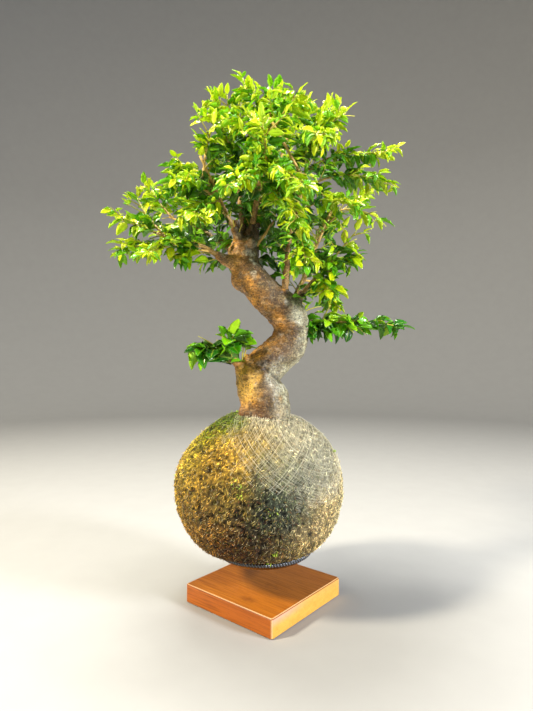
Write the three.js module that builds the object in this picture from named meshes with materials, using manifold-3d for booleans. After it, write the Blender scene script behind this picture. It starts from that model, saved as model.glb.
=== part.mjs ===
// A levitating kokedama: a small privet tree with an S-shaped trunk, planted in a ball of soil
// wrapped in moss. The ball stands in a black dish with a magnet in it, and floats over a square
// wooden base that holds electromagnets. Millimetres, +Z up, -Y towards the viewer of the tree's
// front. The origin is the centre of the base's underside, on the axis about which the ball turns.
import * as THREE from 'three';
import { mergeVertices } from 'three/addons/utils/BufferGeometryUtils.js';
import Module from 'manifold-3d';

const wasm = await Module();
wasm.setup();

// ---------------------------------------------------------------- driving dimensions

const GAP = 0.3; // between pieces that touch

const BASE = { side: 120, height: 20, bevel: 1.2, corner: 1.5, wall: 8, roof: 3 };
const BASE_TURN = THREE.MathUtils.degToRad(-39.6); // the grain runs along the base's own X
const PLATE = { side: 108, thickness: 2 };
const BOARD = { side: 92, thickness: 1.6 };
const COIL = { offset: 17, bore: 4, radius: 11, height: 11 };
const RING_MAGNET = { inner: 37, outer: 44, height: 8 };
const SOCKET = { radius: 4.7, length: 9, bore: 3.1, depth: 7.5, pin: 1, pinLength: 5.5, height: 10 };

const FLOAT_HEIGHT = 26; // clear air between the base and the dish
const DISH = { foot: 32, rim: 53, height: 12.5, lip: 4, edge: 1, pocket: 24, pocketDepth: 8 };
const DISH_FOOT_Z = BASE.height + FLOAT_HEIGHT;
const DISH_TOP_Z = DISH_FOOT_Z + DISH.height;

const BALL = { radius: 92, halfHeight: 84, centre: [-5, 0, 124], lump: 1.2 };
const BALL_FLOOR_Z = DISH_TOP_Z + GAP;
const MOSS_THICKNESS = 10;

// The trunk's centre line, from its foot in the soil to its top: x, y, z and radius.
const TRUNK = [
  [4, -12, 150, 15],
  [4, -12, 172, 22],
  [3, -12, 189, 25.5],
  [2, -12, 204, 26.2],
  [1, -12, 218, 26],
  [-3.5, -11, 230, 25.3],
  [-4.5, -10, 241, 24.4],
  [0, -8, 252, 22.2],
  [12, -4, 265, 20.4],
  [25.5, 0, 277, 20],
  [29, 2, 291, 20],
  [28, 0, 305, 20.2],
  [20, -4, 318, 20],
  [6, -8, 330, 18.2],
  [-8, -8, 344, 17],
  [-19, -5, 359, 17],
  [-23, -1, 374, 16.8],
  [-21, 2, 387, 15.6],
  [-20, 3, 396, 12.5],
];
const TRUNK_SIDES = 12;
const FOOT_STATIONS = 6; // as far up the trunk as its hole in the ball reaches

// Stumps of sawn-off and broken limbs, from inside the trunk to the cut.
const STUMPS = [
  [[-8, -11, 230, 17], [-25, -12, 258, 7.5]],
  [[-17, 3, 384, 9], [-9, 0, 413, 5.5]],
  [[-26, 2, 384, 6], [-31, -3, 415, 3.4]],
];

// Bare twigs, cut off short, from inside a branch to the cut.
const SNAGS = [
  [[-34, -16, 407], [-65, -40, 471]],
  [[43, -14, 455], [6, -40, 510]],
  [[-8, -2, 386], [11, -6, 413]],
];
const SNAG_RADII = [1.7, 1.3];

// Where each branch runs, from inside the trunk, with its radius at the root and at the end.
const BRANCHES = {
  left_low: {
    radii: [3.6, 1.3],
    line: [
      [-30, -7, 366], [-46, -16, 372], [-58, -20, 379], [-71, -24, 384], [-87, -29, 384],
      [-102, -33, 387],
    ],
  },
  left_back: {
    radii: [3.2, 1.2],
    line: [[-27, 4, 379], [-48, 18, 395], [-71, 34, 411], [-94, 48, 425], [-115, 58, 435]],
  },
  left_up: {
    radii: [3.2, 1.5],
    line: [[-23, -2, 386], [-34, -16, 407], [-48, -26, 430], [-58, -33, 446], [-62, -36, 459]],
  },
  top_left: {
    radii: [3.8, 1.4],
    line: [[-21, 5, 389], [-25, 10, 424], [-29, 12, 464], [-36, 12, 500], [-39, 10, 523]],
  },
  top_mid: {
    radii: [3.6, 1.3],
    line: [[-17, 0, 388], [-8, -8, 430], [-2, -12, 467], [4, -14, 496], [7, -12, 517]],
  },
  top_back: {
    radii: [3.4, 1.3],
    line: [[-18, 8, 388], [-5, 32, 431], [9, 50, 475], [22, 58, 511], [29, 58, 534]],
  },
  front_up: {
    radii: [2.6, 1.2],
    line: [[-8, -7, 431], [-4, -30, 446], [0, -54, 452], [3, -78, 450]],
  },
  right_tall: {
    radii: [3.8, 1.3],
    line: [[21, -7, 318], [23, -19, 345], [28, -20, 394], [43, -14, 455], [49, -9, 484], [55, -5, 505]],
  },
  right_mid: {
    radii: [3.2, 1.2],
    line: [[30, -1, 316], [44, -8, 338], [60, -14, 353], [69, -17, 361], [78, -19, 368]],
  },
  right_low: {
    radii: [2.6, 1.1],
    line: [[37, 3, 302], [60, 10, 304], [78, 14, 305], [97, 17, 305]],
  },
  right_back: {
    radii: [3.2, 1.3],
    line: [[27, 6, 318], [44, 26, 351], [58, 44, 387], [71, 54, 419], [82, 58, 445]],
  },
  stump_side: {
    radii: [2.2, 1.2],
    line: [[-23, -12, 253], [-33, -18, 263], [-43, -22, 272]],
  },
};
const BRANCH_SIDES = 5;

// The leafy shoots of each branch: how far along it each one grows, its tip and its leaf pairs.
const SHOOTS = {
  left_low: [
    [0.60, [-147, -32, 377], 4],
    [0.85, [-149, -40, 406], 3],
    [0.50, [-115, -62, 366], 4],
    [0.35, [-89, -44, 366], 3],
    [0.95, [-135, -16, 435], 3],
  ],
  left_back: [
    [0.95, [-144, 74, 473], 3],
    [0.60, [-140, 100, 422], 3],
    [0.55, [-101, 96, 472], 3],
  ],
  left_up: [
    [0.90, [-92, -40, 459], 3],
    [0.60, [-87, -76, 430], 4],
    [0.98, [-50, -50, 497], 3],
    [0.40, [-65, -96, 394], 4],
  ],
  top_left: [
    [0.95, [-57, 0, 548], 3],
    [0.75, [-51, -34, 514], 4],
    [0.98, [-41, 12, 559], 3],
    [0.60, [-70, 58, 516], 4],
  ],
  top_mid: [
    [0.95, [-21, -16, 553], 3],
    [0.98, [7, -8, 556], 3],
    [0.60, [-23, -72, 497], 4],
    [0.80, [34, -42, 531], 4],
  ],
  top_back: [
    [0.95, [53, 52, 567], 3],
    [0.75, [-8, 92, 575], 3],
    [0.50, [52, 114, 530], 3],
    [0.35, [-40, 112, 505], 3],
  ],
  front_up: [
    [0.98, [-1, -104, 476], 3],
    [0.75, [-33, -122, 412], 4],
    [0.80, [38, -120, 412], 4],
    [0.50, [34, -104, 380], 4],
  ],
  right_tall: [
    [0.98, [74, 4, 541], 3],
    [0.93, [88, -14, 527], 3],
    [0.78, [124, -6, 482], 4],
    [0.66, [126, -28, 448], 4],
    [0.50, [84, -82, 408], 4],
    [0.40, [40, -78, 352], 4],
    [0.85, [58, -84, 474], 4],
  ],
  right_mid: [
    [0.95, [96, -22, 371], 3],
    [0.60, [66, -40, 332], 3],
    [0.75, [91, -58, 389], 3],
  ],
  right_low: [
    [0.90, [155, 20, 299], 4],
    [0.40, [65, 0, 295], 3],
  ],
  right_back: [
    [0.95, [141, 48, 427], 4],
    [0.75, [129, 88, 468], 3],
    [0.50, [76, 112, 448], 3],
    [0.30, [83, 48, 328], 4],
  ],
  stump_side: [
    [0.95, [-67, -36, 270], 3],
    [0.55, [-31, -40, 287], 3],
  ],
};
const TWIG_SHARE = 0.34; // of a shoot's length is bare brown twig, in one piece with the wood
const TWIG_RADII = [1.3, 1.0];
const STEM_RADII = [1.0, 0.6];
const STEM_SIDES = 3;
const LEAF = { length: 22, width: 12.5, widest: 0.42, thickness: 0.6, clearance: 0.35 };
const FIRST_SEED = 100;

// ---------------------------------------------------------------- solids

const { lerp, smoothstep } = THREE.MathUtils;
const vector = ([x, y, z]) => new THREE.Vector3(x, y, z);

// A closed geometry as a solid that can be joined and cut.
function solidOf(geometry) {
  const bare = geometry.clone();
  bare.deleteAttribute('normal');
  bare.deleteAttribute('uv');
  const merged = mergeVertices(bare, 1e-4);
  return new wasm.Manifold(new wasm.Mesh({
    numProp: 3,
    vertProperties: merged.attributes.position.array,
    triVerts: new Uint32Array(merged.index.array),
  }));
}

function geometryOf(solid) {
  const mesh = solid.getMesh();
  const geometry = new THREE.BufferGeometry();
  geometry.setAttribute('position', new THREE.BufferAttribute(mesh.vertProperties, 3));
  geometry.setIndex(new THREE.BufferAttribute(mesh.triVerts, 1));
  geometry.computeVertexNormals();
  return geometry;
}

const joined = (solids) => solids.reduce((sum, solid) => sum.add(solid));
const cut = (solid, tools) => tools.reduce((rest, tool) => rest.subtract(tool), solid);
const slab = (side, thickness) => solidOf(new THREE.BoxGeometry(side, side, thickness));

// A cylinder that stands on z = 0.
function post(radius, height, sides) {
  const cylinder = new THREE.CylinderGeometry(radius, radius, height, sides);
  return cylinder.rotateX(Math.PI / 2).translate(0, 0, height / 2);
}

// A profile of [radius, height] pairs turned about Z.
function turned(profile, segments) {
  const points = profile.map(([radius, height]) => new THREE.Vector2(radius, height));
  return new THREE.LatheGeometry(points, segments).rotateX(Math.PI / 2);
}

// A flat-sided ring that stands on z = 0.
const ring = (inner, outer, height, segments) => solidOf(
  turned([[inner, 0], [outer, 0], [outer, height], [inner, height], [inner, 0]], segments));

// A limb along a line of points, with a radius at each, closed at both ends.
function limb(points, radii, sides) {
  const last = points.length - 1;
  const positions = [];
  const across = new THREE.Vector3();
  points.forEach((point, i) => {
    const tangent = points[Math.min(i + 1, last)].clone().sub(points[Math.max(i - 1, 0)]).normalize();
    if (i === 0) across.set(Math.abs(tangent.x) < 0.9 ? 1 : 0, Math.abs(tangent.x) < 0.9 ? 0 : 1, 0);
    across.addScaledVector(tangent, -across.dot(tangent)).normalize();
    const over = tangent.clone().cross(across);
    for (let k = 0; k < sides; k++) {
      const turn = (2 * Math.PI * k) / sides;
      positions.push(...point.clone()
        .addScaledVector(across, radii[i] * Math.cos(turn))
        .addScaledVector(over, radii[i] * Math.sin(turn)));
    }
  });
  const indices = [];
  for (let i = 0; i < last; i++) {
    for (let k = 0; k < sides; k++) {
      const a = i * sides + k;
      const b = i * sides + ((k + 1) % sides);
      indices.push(a, b, b + sides, a, b + sides, a + sides);
    }
  }
  for (let k = 1; k < sides - 1; k++) {
    indices.push(0, k + 1, k);
    indices.push(last * sides, last * sides + k, last * sides + k + 1);
  }
  const geometry = new THREE.BufferGeometry();
  geometry.setAttribute('position', new THREE.Float32BufferAttribute(positions, 3));
  geometry.setIndex(indices);
  return solidOf(geometry);
}

// A limb whose radius changes evenly from point to point.
const taper = (points, [thick, thin], sides) => limb(
  points, points.map((_, i) => lerp(thick, thin, i / (points.length - 1))), sides);

// A limb through stations of x, y, z and radius.
const limbThrough = (stations, sides) => limb(
  stations.map(vector), stations.map((station) => station[3]), sides);

// ---------------------------------------------------------------- the levitation base

function baseCase() {
  const half = BASE.side / 2 - BASE.bevel;
  const inner = half - BASE.corner;
  const outline = new THREE.Shape();
  outline.moveTo(-inner, -half);
  outline.absarc(inner, -inner, BASE.corner, -Math.PI / 2, 0);
  outline.absarc(inner, inner, BASE.corner, 0, Math.PI / 2);
  outline.absarc(-inner, inner, BASE.corner, Math.PI / 2, Math.PI);
  outline.absarc(-inner, -inner, BASE.corner, Math.PI, 1.5 * Math.PI);
  const block = new THREE.ExtrudeGeometry(outline, {
    depth: BASE.height - 2 * BASE.bevel,
    bevelThickness: BASE.bevel,
    bevelSize: BASE.bevel,
    bevelSegments: 1,
    curveSegments: 2,
  });
  const pocket = slab(BASE.side - 2 * BASE.wall, 2 * (BASE.height - BASE.roof));
  const rebate = slab(PLATE.side + 2 * GAP, 2 * (PLATE.thickness + GAP));
  const socketHole = post(SOCKET.radius + GAP, 2 * BASE.wall, 24)
    .rotateX(-Math.PI / 2)
    .translate(0, BASE.side / 2 - 1.5 * BASE.wall, SOCKET.height);
  return cut(solidOf(block.translate(0, 0, BASE.bevel)), [pocket, rebate, solidOf(socketHole)]);
}

// A power inlet with a round mouth and a centre pin, its back on z = 0.
function powerSocket() {
  const floor = SOCKET.length - SOCKET.depth;
  const mouth = post(SOCKET.bore, SOCKET.length, 16).translate(0, 0, floor);
  const pin = post(SOCKET.pin, floor / 2 + SOCKET.pinLength, 8).translate(0, 0, floor / 2);
  return cut(solidOf(post(SOCKET.radius, SOCKET.length, 24)), [solidOf(mouth)]).add(solidOf(pin));
}

// ---------------------------------------------------------------- the ball and its dish

function magnetDish() {
  const { foot, rim, height, lip, edge, pocket, pocketDepth } = DISH;
  const belly = [lerp(foot, rim, 0.6), 0.45 * (height - lip)];
  return solidOf(turned([
    [0, 0],
    [foot, 0],
    belly,
    [rim - edge, height - lip],
    [rim, height - lip + edge],
    [rim, height - edge],
    [rim - edge, height],
    [pocket, height],
    [pocket, height - pocketDepth],
    [0, height - pocketDepth],
  ], 28));
}

// The ball, or what is left of it under an inset, turned about its own centre. It is flat below.
function ballShape(inset, segments, steps) {
  const radius = BALL.radius - inset;
  const halfHeight = BALL.halfHeight - inset;
  const floor = BALL_FLOOR_Z + inset - BALL.centre[2];
  const lowest = Math.asin(floor / halfHeight);
  const profile = [[0, floor]];
  for (let i = 0; i < steps; i++) {
    const angle = lerp(lowest, Math.PI / 2, i / steps);
    profile.push([radius * Math.cos(angle), halfHeight * Math.sin(angle)]);
  }
  profile.push([0, halfHeight]);
  return turned(profile, segments);
}

// Moss is packed by hand, so the ball has shallow lumps, which fade out above its flat underside.
function lumpy(geometry) {
  const place = geometry.getAttribute('position');
  for (let i = 0; i < place.count; i++) {
    const [x, y, z] = [place.getX(i), place.getY(i), place.getZ(i)];
    const waves = Math.sin(x / 17 + z / 29) + Math.sin(y / 15 - z / 23) + Math.sin((x - y) / 31);
    const fade = smoothstep(z, -0.75 * BALL.halfHeight, -0.3 * BALL.halfHeight);
    const swell = 1 + (BALL.lump * waves * fade) / BALL.radius;
    place.setXYZ(i, x * swell, y * swell, z * swell);
  }
  return geometry;
}

const ballSolid = (geometry) => solidOf(geometry.translate(...BALL.centre));

// The plain hole in soil and moss in which the trunk's foot stands.
function footHole() {
  const stations = TRUNK.slice(0, FOOT_STATIONS).map(([x, y, z, radius]) => [x, y, z, radius + GAP]);
  stations[0][2] -= GAP;
  return limbThrough(stations, TRUNK_SIDES);
}

function mossWrap() {
  const hollow = ballSolid(ballShape(MOSS_THICKNESS, 20, 7));
  return cut(ballSolid(lumpy(ballShape(0, 28, 10))), [hollow, footHole()]);
}

const soilCore = () => cut(ballSolid(ballShape(MOSS_THICKNESS + GAP, 20, 7)), [footHole()]);

// ---------------------------------------------------------------- the wood

// A path that runs straight from point to point.
function polyline(points) {
  const path = new THREE.CurvePath();
  points.slice(1).forEach((point, i) => path.add(new THREE.LineCurve3(points[i], point)));
  return path;
}

// The arching path of a shoot, from its branch to its tip.
function shootPath(line, share, tip) {
  const root = line.getPoint(share);
  const end = vector(tip);
  const reach = root.distanceTo(end);
  const heading = end.clone().sub(root).normalize()
    .addScaledVector(line.getTangent(share), 0.6)
    .normalize();
  const crest = root.clone().addScaledVector(heading, 0.5 * reach);
  crest.z += 0.08 * reach;
  return new THREE.QuadraticBezierCurve3(root, crest, end);
}

// Every shoot: the ends of its twig, and the joints of its green stem, one more than its pairs.
function plantShoots() {
  return Object.entries(SHOOTS).flatMap(([branchName, rows]) => {
    const line = polyline(BRANCHES[branchName].line.map(vector));
    return rows.map(([share, tip, pairs], i) => {
      const path = shootPath(line, share, tip);
      const start = TWIG_SHARE + GAP / path.getLength();
      return {
        name: `shoot_${branchName}_${i + 1}`,
        twig: [path.getPoint(0), path.getPoint(TWIG_SHARE)],
        joints: Array.from({ length: pairs + 1 }, (_, k) => path.getPoint(lerp(start, 1, k / pairs))),
      };
    });
  });
}

function treeWood(shoots) {
  return joined([
    limbThrough(TRUNK, TRUNK_SIDES),
    ...STUMPS.map((stump) => limbThrough(stump, 8)),
    ...Object.values(BRANCHES).map(({ line, radii }) => taper(line.map(vector), radii, BRANCH_SIDES)),
    ...SNAGS.map((line) => taper(line.map(vector), SNAG_RADII, BRANCH_SIDES)),
    ...shoots.map(({ twig }) => taper(twig, TWIG_RADII, STEM_SIDES)),
  ]);
}

// ---------------------------------------------------------------- the leaves

// Repeatable random numbers from 0 to 1.
function randomFrom(seed) {
  let state = seed;
  return () => {
    state = (state * 1664525 + 1013904223) % 4294967296;
    return state / 4294967296;
  };
}

// A pointed blade, bent down where it is widest, from a root point, a direction, the way its
// upper side faces and a length. Both faces are split alike, across the blade.
function blade({ root, along, up, length, arch }, thickness) {
  const across = up.clone().cross(along);
  const width = (LEAF.width / LEAF.length) * length;
  const outline = [[0, 0], [LEAF.widest, -0.5], [1, 0], [LEAF.widest, 0.5]];
  const corners = outline.length;
  const positions = [0.5, -0.5].flatMap((level) => outline.flatMap(([share, side]) => [...root.clone()
    .addScaledVector(along, share * length)
    .addScaledVector(across, side * width)
    .addScaledVector(up, level * thickness - arch * length * share ** 2)]));
  const indices = [0, 1, 3, 1, 2, 3, 4, 7, 5, 5, 7, 6];
  for (let i = 0; i < corners; i++) {
    const next = (i + 1) % corners;
    indices.push(next, i, i + corners, next, i + corners, next + corners);
  }
  const geometry = new THREE.BufferGeometry();
  geometry.setAttribute('position', new THREE.Float32BufferAttribute(positions, 3));
  geometry.setIndex(indices);
  return solidOf(geometry);
}

// How a leaf sits: out to one side of the stem, forward along it and a little down, with its
// upper side to the sky.
function leafPose(stem, { share, azimuth, size, draw }) {
  const [forward, growth, roll, droop] = draw;
  const tangent = stem.getTangent(share);
  const sky = new THREE.Vector3(0, 0, 1);
  const side = tangent.clone().cross(sky);
  if (side.length() < 0.2) side.set(1, 0, 0);
  side.normalize();
  const over = side.clone().cross(tangent);
  const along = side.multiplyScalar(Math.cos(azimuth))
    .addScaledVector(over, 0.6 * Math.sin(azimuth))
    .addScaledVector(tangent, 0.45 + 0.4 * forward)
    .addScaledVector(sky, -0.22)
    .normalize();
  const up = sky.addScaledVector(along, -along.z).normalize();
  up.applyAxisAngle(along, 1.1 * (roll - 0.5));
  return {
    root: stem.getPoint(share),
    along,
    up,
    length: LEAF.length * size * (0.82 + 0.36 * growth),
    arch: 0.1 + 0.22 * droop,
  };
}

// The leaves of a shoot: opposite pairs, each pair turned from the last, and one at the tip.
function leafPlaces(pairs, random) {
  const places = Array.from({ length: pairs }, (_, pair) => {
    const share = (pair + 0.25) / pairs;
    const azimuth = 1.2 * pair + 0.5 * (random() - 0.5);
    const size = 1.08 - (0.3 * pair) / pairs;
    return [0, Math.PI].map((turn) => (
      { share, azimuth: azimuth + turn, size, draw: [random(), random(), random(), random()] }));
  }).flat();
  places.push({ share: 0.985, azimuth: Math.PI / 2, size: 0.8, draw: [1, random(), random(), random()] });
  return places;
}

// A solid's claim to its room, with a box for a quick first test.
function claim(owner, solid, share = null) {
  const { min, max } = solid.boundingBox();
  return { owner, share, solid, box: new THREE.Box3(vector(min), vector(max)) };
}

const overlap = (a, b) => (a.box.intersectsBox(b.box) ? a.solid.intersect(b.solid).volume() : 0);

// Every shoot's stem and leaves as one solid each. A leaf that would meet the wood or another
// shoot, or lie in a leaf of its own shoot, is turned about its stem, or left off if that fails.
function leafyShoots(shoots, wood) {
  const roomAbout = STEM_RADII.map((radius) => radius + LEAF.clearance);
  const taken = [
    claim('wood', wood),
    ...shoots.map(({ name, joints }) => claim(name, taper(joints, roomAbout, STEM_SIDES))),
  ];
  const isFree = (room) => taken.every((other) => {
    if (other.owner !== room.owner) return overlap(room, other) === 0;
    return other.share === null || other.share === room.share || overlap(room, other) < 1.5;
  });
  return shoots.map(({ name, joints }, index) => {
    const stem = polyline(joints);
    const leaves = leafPlaces(joints.length - 1, randomFrom(FIRST_SEED + index)).flatMap((place) => {
      for (const turn of [0, 0.5, -0.5, 1, -1]) {
        const pose = leafPose(stem, { ...place, azimuth: place.azimuth + turn });
        const spread = { ...pose, length: pose.length + 2 * LEAF.clearance };
        const room = claim(name, blade(spread, LEAF.thickness + 2 * LEAF.clearance), place.share);
        if (isFree(room)) {
          taken.push(room);
          return [blade(pose, LEAF.thickness)];
        }
      }
      return [];
    });
    return { name, solid: joined([taper(joints, STEM_RADII, STEM_SIDES), ...leaves]) };
  });
}

// ---------------------------------------------------------------- colours and assembly

const FINISH = {
  wood: { color: '#c47a3a', roughness: 0.45 },
  plastic: { color: '#1c1c1e', roughness: 0.6 },
  board: { color: '#1f5a34', roughness: 0.5 },
  copper: { color: '#b4652c', roughness: 0.35, metalness: 1 },
  magnet: { color: '#9a9ca0', roughness: 0.3, metalness: 1 },
  gloss: { color: '#17181b', roughness: 0.3 },
  soil: { color: '#3a2a1c', roughness: 1 },
  moss: { color: '#77703a', roughness: 1 },
  bark: { color: '#a9835a', roughness: 0.75 },
  leaf: { color: '#6fa51e', roughness: 0.35 },
};

function piece(name, solid, finish, z = 0) {
  const mesh = new THREE.Mesh(geometryOf(solid), new THREE.MeshStandardMaterial(FINISH[finish]));
  mesh.name = name;
  mesh.position.z = z;
  return mesh;
}

function levitationBase() {
  const boardFloor = PLATE.thickness + GAP;
  const magnetFloor = boardFloor + BOARD.thickness + GAP;
  const { inner, outer, height } = RING_MAGNET;
  const socket = piece('power_socket', powerSocket(), 'plastic');
  socket.rotation.x = -Math.PI / 2;
  socket.position.set(0, BASE.side / 2 - GAP - SOCKET.length, SOCKET.height);
  const group = new THREE.Group();
  group.rotation.z = BASE_TURN;
  group.add(
    piece('base_case', baseCase(), 'wood'),
    piece('base_plate', slab(PLATE.side, PLATE.thickness), 'plastic', PLATE.thickness / 2),
    piece('circuit_board', slab(BOARD.side, BOARD.thickness), 'board', boardFloor + BOARD.thickness / 2),
    piece('ring_magnet', ring(inner, outer, height, 24), 'magnet', magnetFloor),
    socket,
  );
  [[1, 1], [-1, 1], [-1, -1], [1, -1]].forEach(([x, y], i) => {
    const coil = piece(`coil_${i + 1}`, ring(COIL.bore, COIL.radius, COIL.height, 12), 'copper', magnetFloor);
    coil.position.x = x * COIL.offset;
    coil.position.y = y * COIL.offset;
    group.add(coil);
  });
  return group;
}

function floatingBall() {
  const shoots = plantShoots();
  const wood = treeWood(shoots);
  const puckHeight = DISH.pocketDepth - 2 * GAP;
  const puck = solidOf(post(DISH.pocket - GAP, puckHeight, 32));
  const group = new THREE.Group();
  group.add(
    piece('magnet_dish', magnetDish(), 'gloss', DISH_FOOT_Z),
    piece('magnet_puck', puck, 'magnet', DISH_TOP_Z - puckHeight - GAP),
    piece('moss_wrap', mossWrap(), 'moss'),
    piece('soil_core', soilCore(), 'soil'),
    piece('tree_wood', wood, 'bark'),
    ...leafyShoots(shoots, wood).map(({ name, solid }) => piece(name, solid, 'leaf')),
  );
  return group;
}

const kokedama = new THREE.Group();
kokedama.add(levitationBase(), floatingBall());
export default kokedama;
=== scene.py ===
"""The looks of a levitating kokedama: a privet in a moss ball that floats over a wooden base.

Lengths in the tables are millimetres, as in the part's source, and meshes are metres.
"""
import math

import bmesh
import bpy
import numpy as np
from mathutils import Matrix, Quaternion, Vector, noise


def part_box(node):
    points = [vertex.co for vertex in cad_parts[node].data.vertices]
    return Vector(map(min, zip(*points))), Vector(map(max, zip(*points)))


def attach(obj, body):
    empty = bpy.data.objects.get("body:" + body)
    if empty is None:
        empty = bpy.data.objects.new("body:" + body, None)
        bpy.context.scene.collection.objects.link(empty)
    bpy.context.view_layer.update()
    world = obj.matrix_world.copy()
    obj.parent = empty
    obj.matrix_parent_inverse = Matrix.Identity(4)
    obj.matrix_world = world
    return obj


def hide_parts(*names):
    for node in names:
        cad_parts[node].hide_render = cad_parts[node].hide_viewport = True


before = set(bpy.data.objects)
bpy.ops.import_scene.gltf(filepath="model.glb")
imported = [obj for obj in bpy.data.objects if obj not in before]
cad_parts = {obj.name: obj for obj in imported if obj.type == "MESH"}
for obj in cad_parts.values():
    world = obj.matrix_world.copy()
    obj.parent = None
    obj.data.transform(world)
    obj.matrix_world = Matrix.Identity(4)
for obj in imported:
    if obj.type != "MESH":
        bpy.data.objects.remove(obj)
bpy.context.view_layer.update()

MM = 0.001

# ---------------------------------------------------------------- the camera

IMAGE_HEIGHT = 711
FOCAL_PIXELS = 515
SENSOR = 36

lens = bpy.data.cameras.new("camera")
lens.sensor_fit = "VERTICAL"
lens.sensor_height = SENSOR
lens.lens = SENSOR * FOCAL_PIXELS / IMAGE_HEIGHT
lens.clip_start = 0.01
camera = bpy.data.objects.new("camera", lens)
camera.location = (0.0029, -0.566, 0.267)
camera.rotation_euler = (math.radians(90), 0, 0)
bpy.context.scene.collection.objects.link(camera)
bpy.context.scene.camera = camera
bpy.context.scene.view_settings.view_transform = "Standard"

# ---------------------------------------------------------------- dimensions

BASE_TURN = math.radians(-39.6)
BASE_HEIGHT = 20
DISH_FOOT_Z = 46
DISH = {"foot": 32, "rim": 53, "height": 12.5, "lip": 4, "edge": 1,
        "pocket": 24, "pocket_depth": 8}
DISH_RIBS = 104
BALL = {"radius": 92, "half_height": 84, "centre": (-5, 0, 124), "lump": 1.2}
BALL_FLOOR_Z = 58.8
MOSS_THICKNESS = 10
GAP = 0.3  # from the end of a twig to the shoot that grows on from it

# The trunk's centre line: x, y, z and radius.
TRUNK = [
    (4, -12, 150, 15), (4, -12, 172, 22), (3, -12, 189, 25.5), (2, -12, 204, 26.2),
    (1, -12, 218, 26), (-3.5, -11, 230, 25.3), (-4.5, -10, 241, 24.4), (0, -8, 252, 22.2),
    (12, -4, 265, 20.4), (25.5, 0, 277, 20), (29, 2, 291, 20), (28, 0, 305, 20.2),
    (20, -4, 318, 20), (6, -8, 330, 18.2), (-8, -8, 344, 17), (-19, -5, 359, 17),
    (-23, -1, 374, 16.8), (-21, 2, 387, 15.6), (-20, 3, 396, 12.5),
]
FOOT_STATIONS = 6  # those of the trunk's stations that stand in the moss

# Stumps of sawn-off and broken limbs, from inside the trunk to the cut.
STUMPS = [
    ((-8, -11, 230, 17), (-25, -12, 258, 7.5)),
    ((-17, 3, 384, 9), (-9, 0, 413, 5.5)),
    ((-26, 2, 384, 6), (-31, -3, 415, 3.4)),
]

# Bare twigs, cut off short, from inside a branch to the cut.
SNAGS = [((-34, -16, 407), (-65, -40, 471)), ((43, -14, 455), (6, -40, 510)),
         ((-8, -2, 386), (11, -6, 413))]
SNAG_RADII = (1.7, 1.3)

# Each branch: its radius at the root and at the end, and where it runs.
BRANCHES = {
    "left_low": (3.6, 1.3, [(-30, -7, 366), (-46, -16, 372), (-58, -20, 379), (-71, -24, 384),
                            (-87, -29, 384), (-102, -33, 387)]),
    "left_back": (3.2, 1.2, [(-27, 4, 379), (-48, 18, 395), (-71, 34, 411), (-94, 48, 425),
                             (-115, 58, 435)]),
    "left_up": (3.2, 1.5, [(-23, -2, 386), (-34, -16, 407), (-48, -26, 430), (-58, -33, 446),
                           (-62, -36, 459)]),
    "top_left": (3.8, 1.4, [(-21, 5, 389), (-25, 10, 424), (-29, 12, 464), (-36, 12, 500),
                            (-39, 10, 523)]),
    "top_mid": (3.6, 1.3, [(-17, 0, 388), (-8, -8, 430), (-2, -12, 467), (4, -14, 496),
                           (7, -12, 517)]),
    "top_back": (3.4, 1.3, [(-18, 8, 388), (-5, 32, 431), (9, 50, 475), (22, 58, 511),
                            (29, 58, 534)]),
    "front_up": (2.6, 1.2, [(-8, -7, 431), (-4, -30, 446), (0, -54, 452), (3, -78, 450)]),
    "right_tall": (3.8, 1.3, [(21, -7, 318), (23, -19, 345), (28, -20, 394), (43, -14, 455),
                              (49, -9, 484), (55, -5, 505)]),
    "right_mid": (3.2, 1.2, [(30, -1, 316), (44, -8, 338), (60, -14, 353), (69, -17, 361),
                             (78, -19, 368)]),
    "right_low": (2.6, 1.1, [(37, 3, 302), (60, 10, 304), (78, 14, 305), (97, 17, 305)]),
    "right_back": (3.2, 1.3, [(27, 6, 318), (44, 26, 351), (58, 44, 387), (71, 54, 419),
                              (82, 58, 445)]),
    "stump_side": (2.2, 1.2, [(-23, -12, 253), (-33, -18, 263), (-43, -22, 272)]),
}

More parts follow.
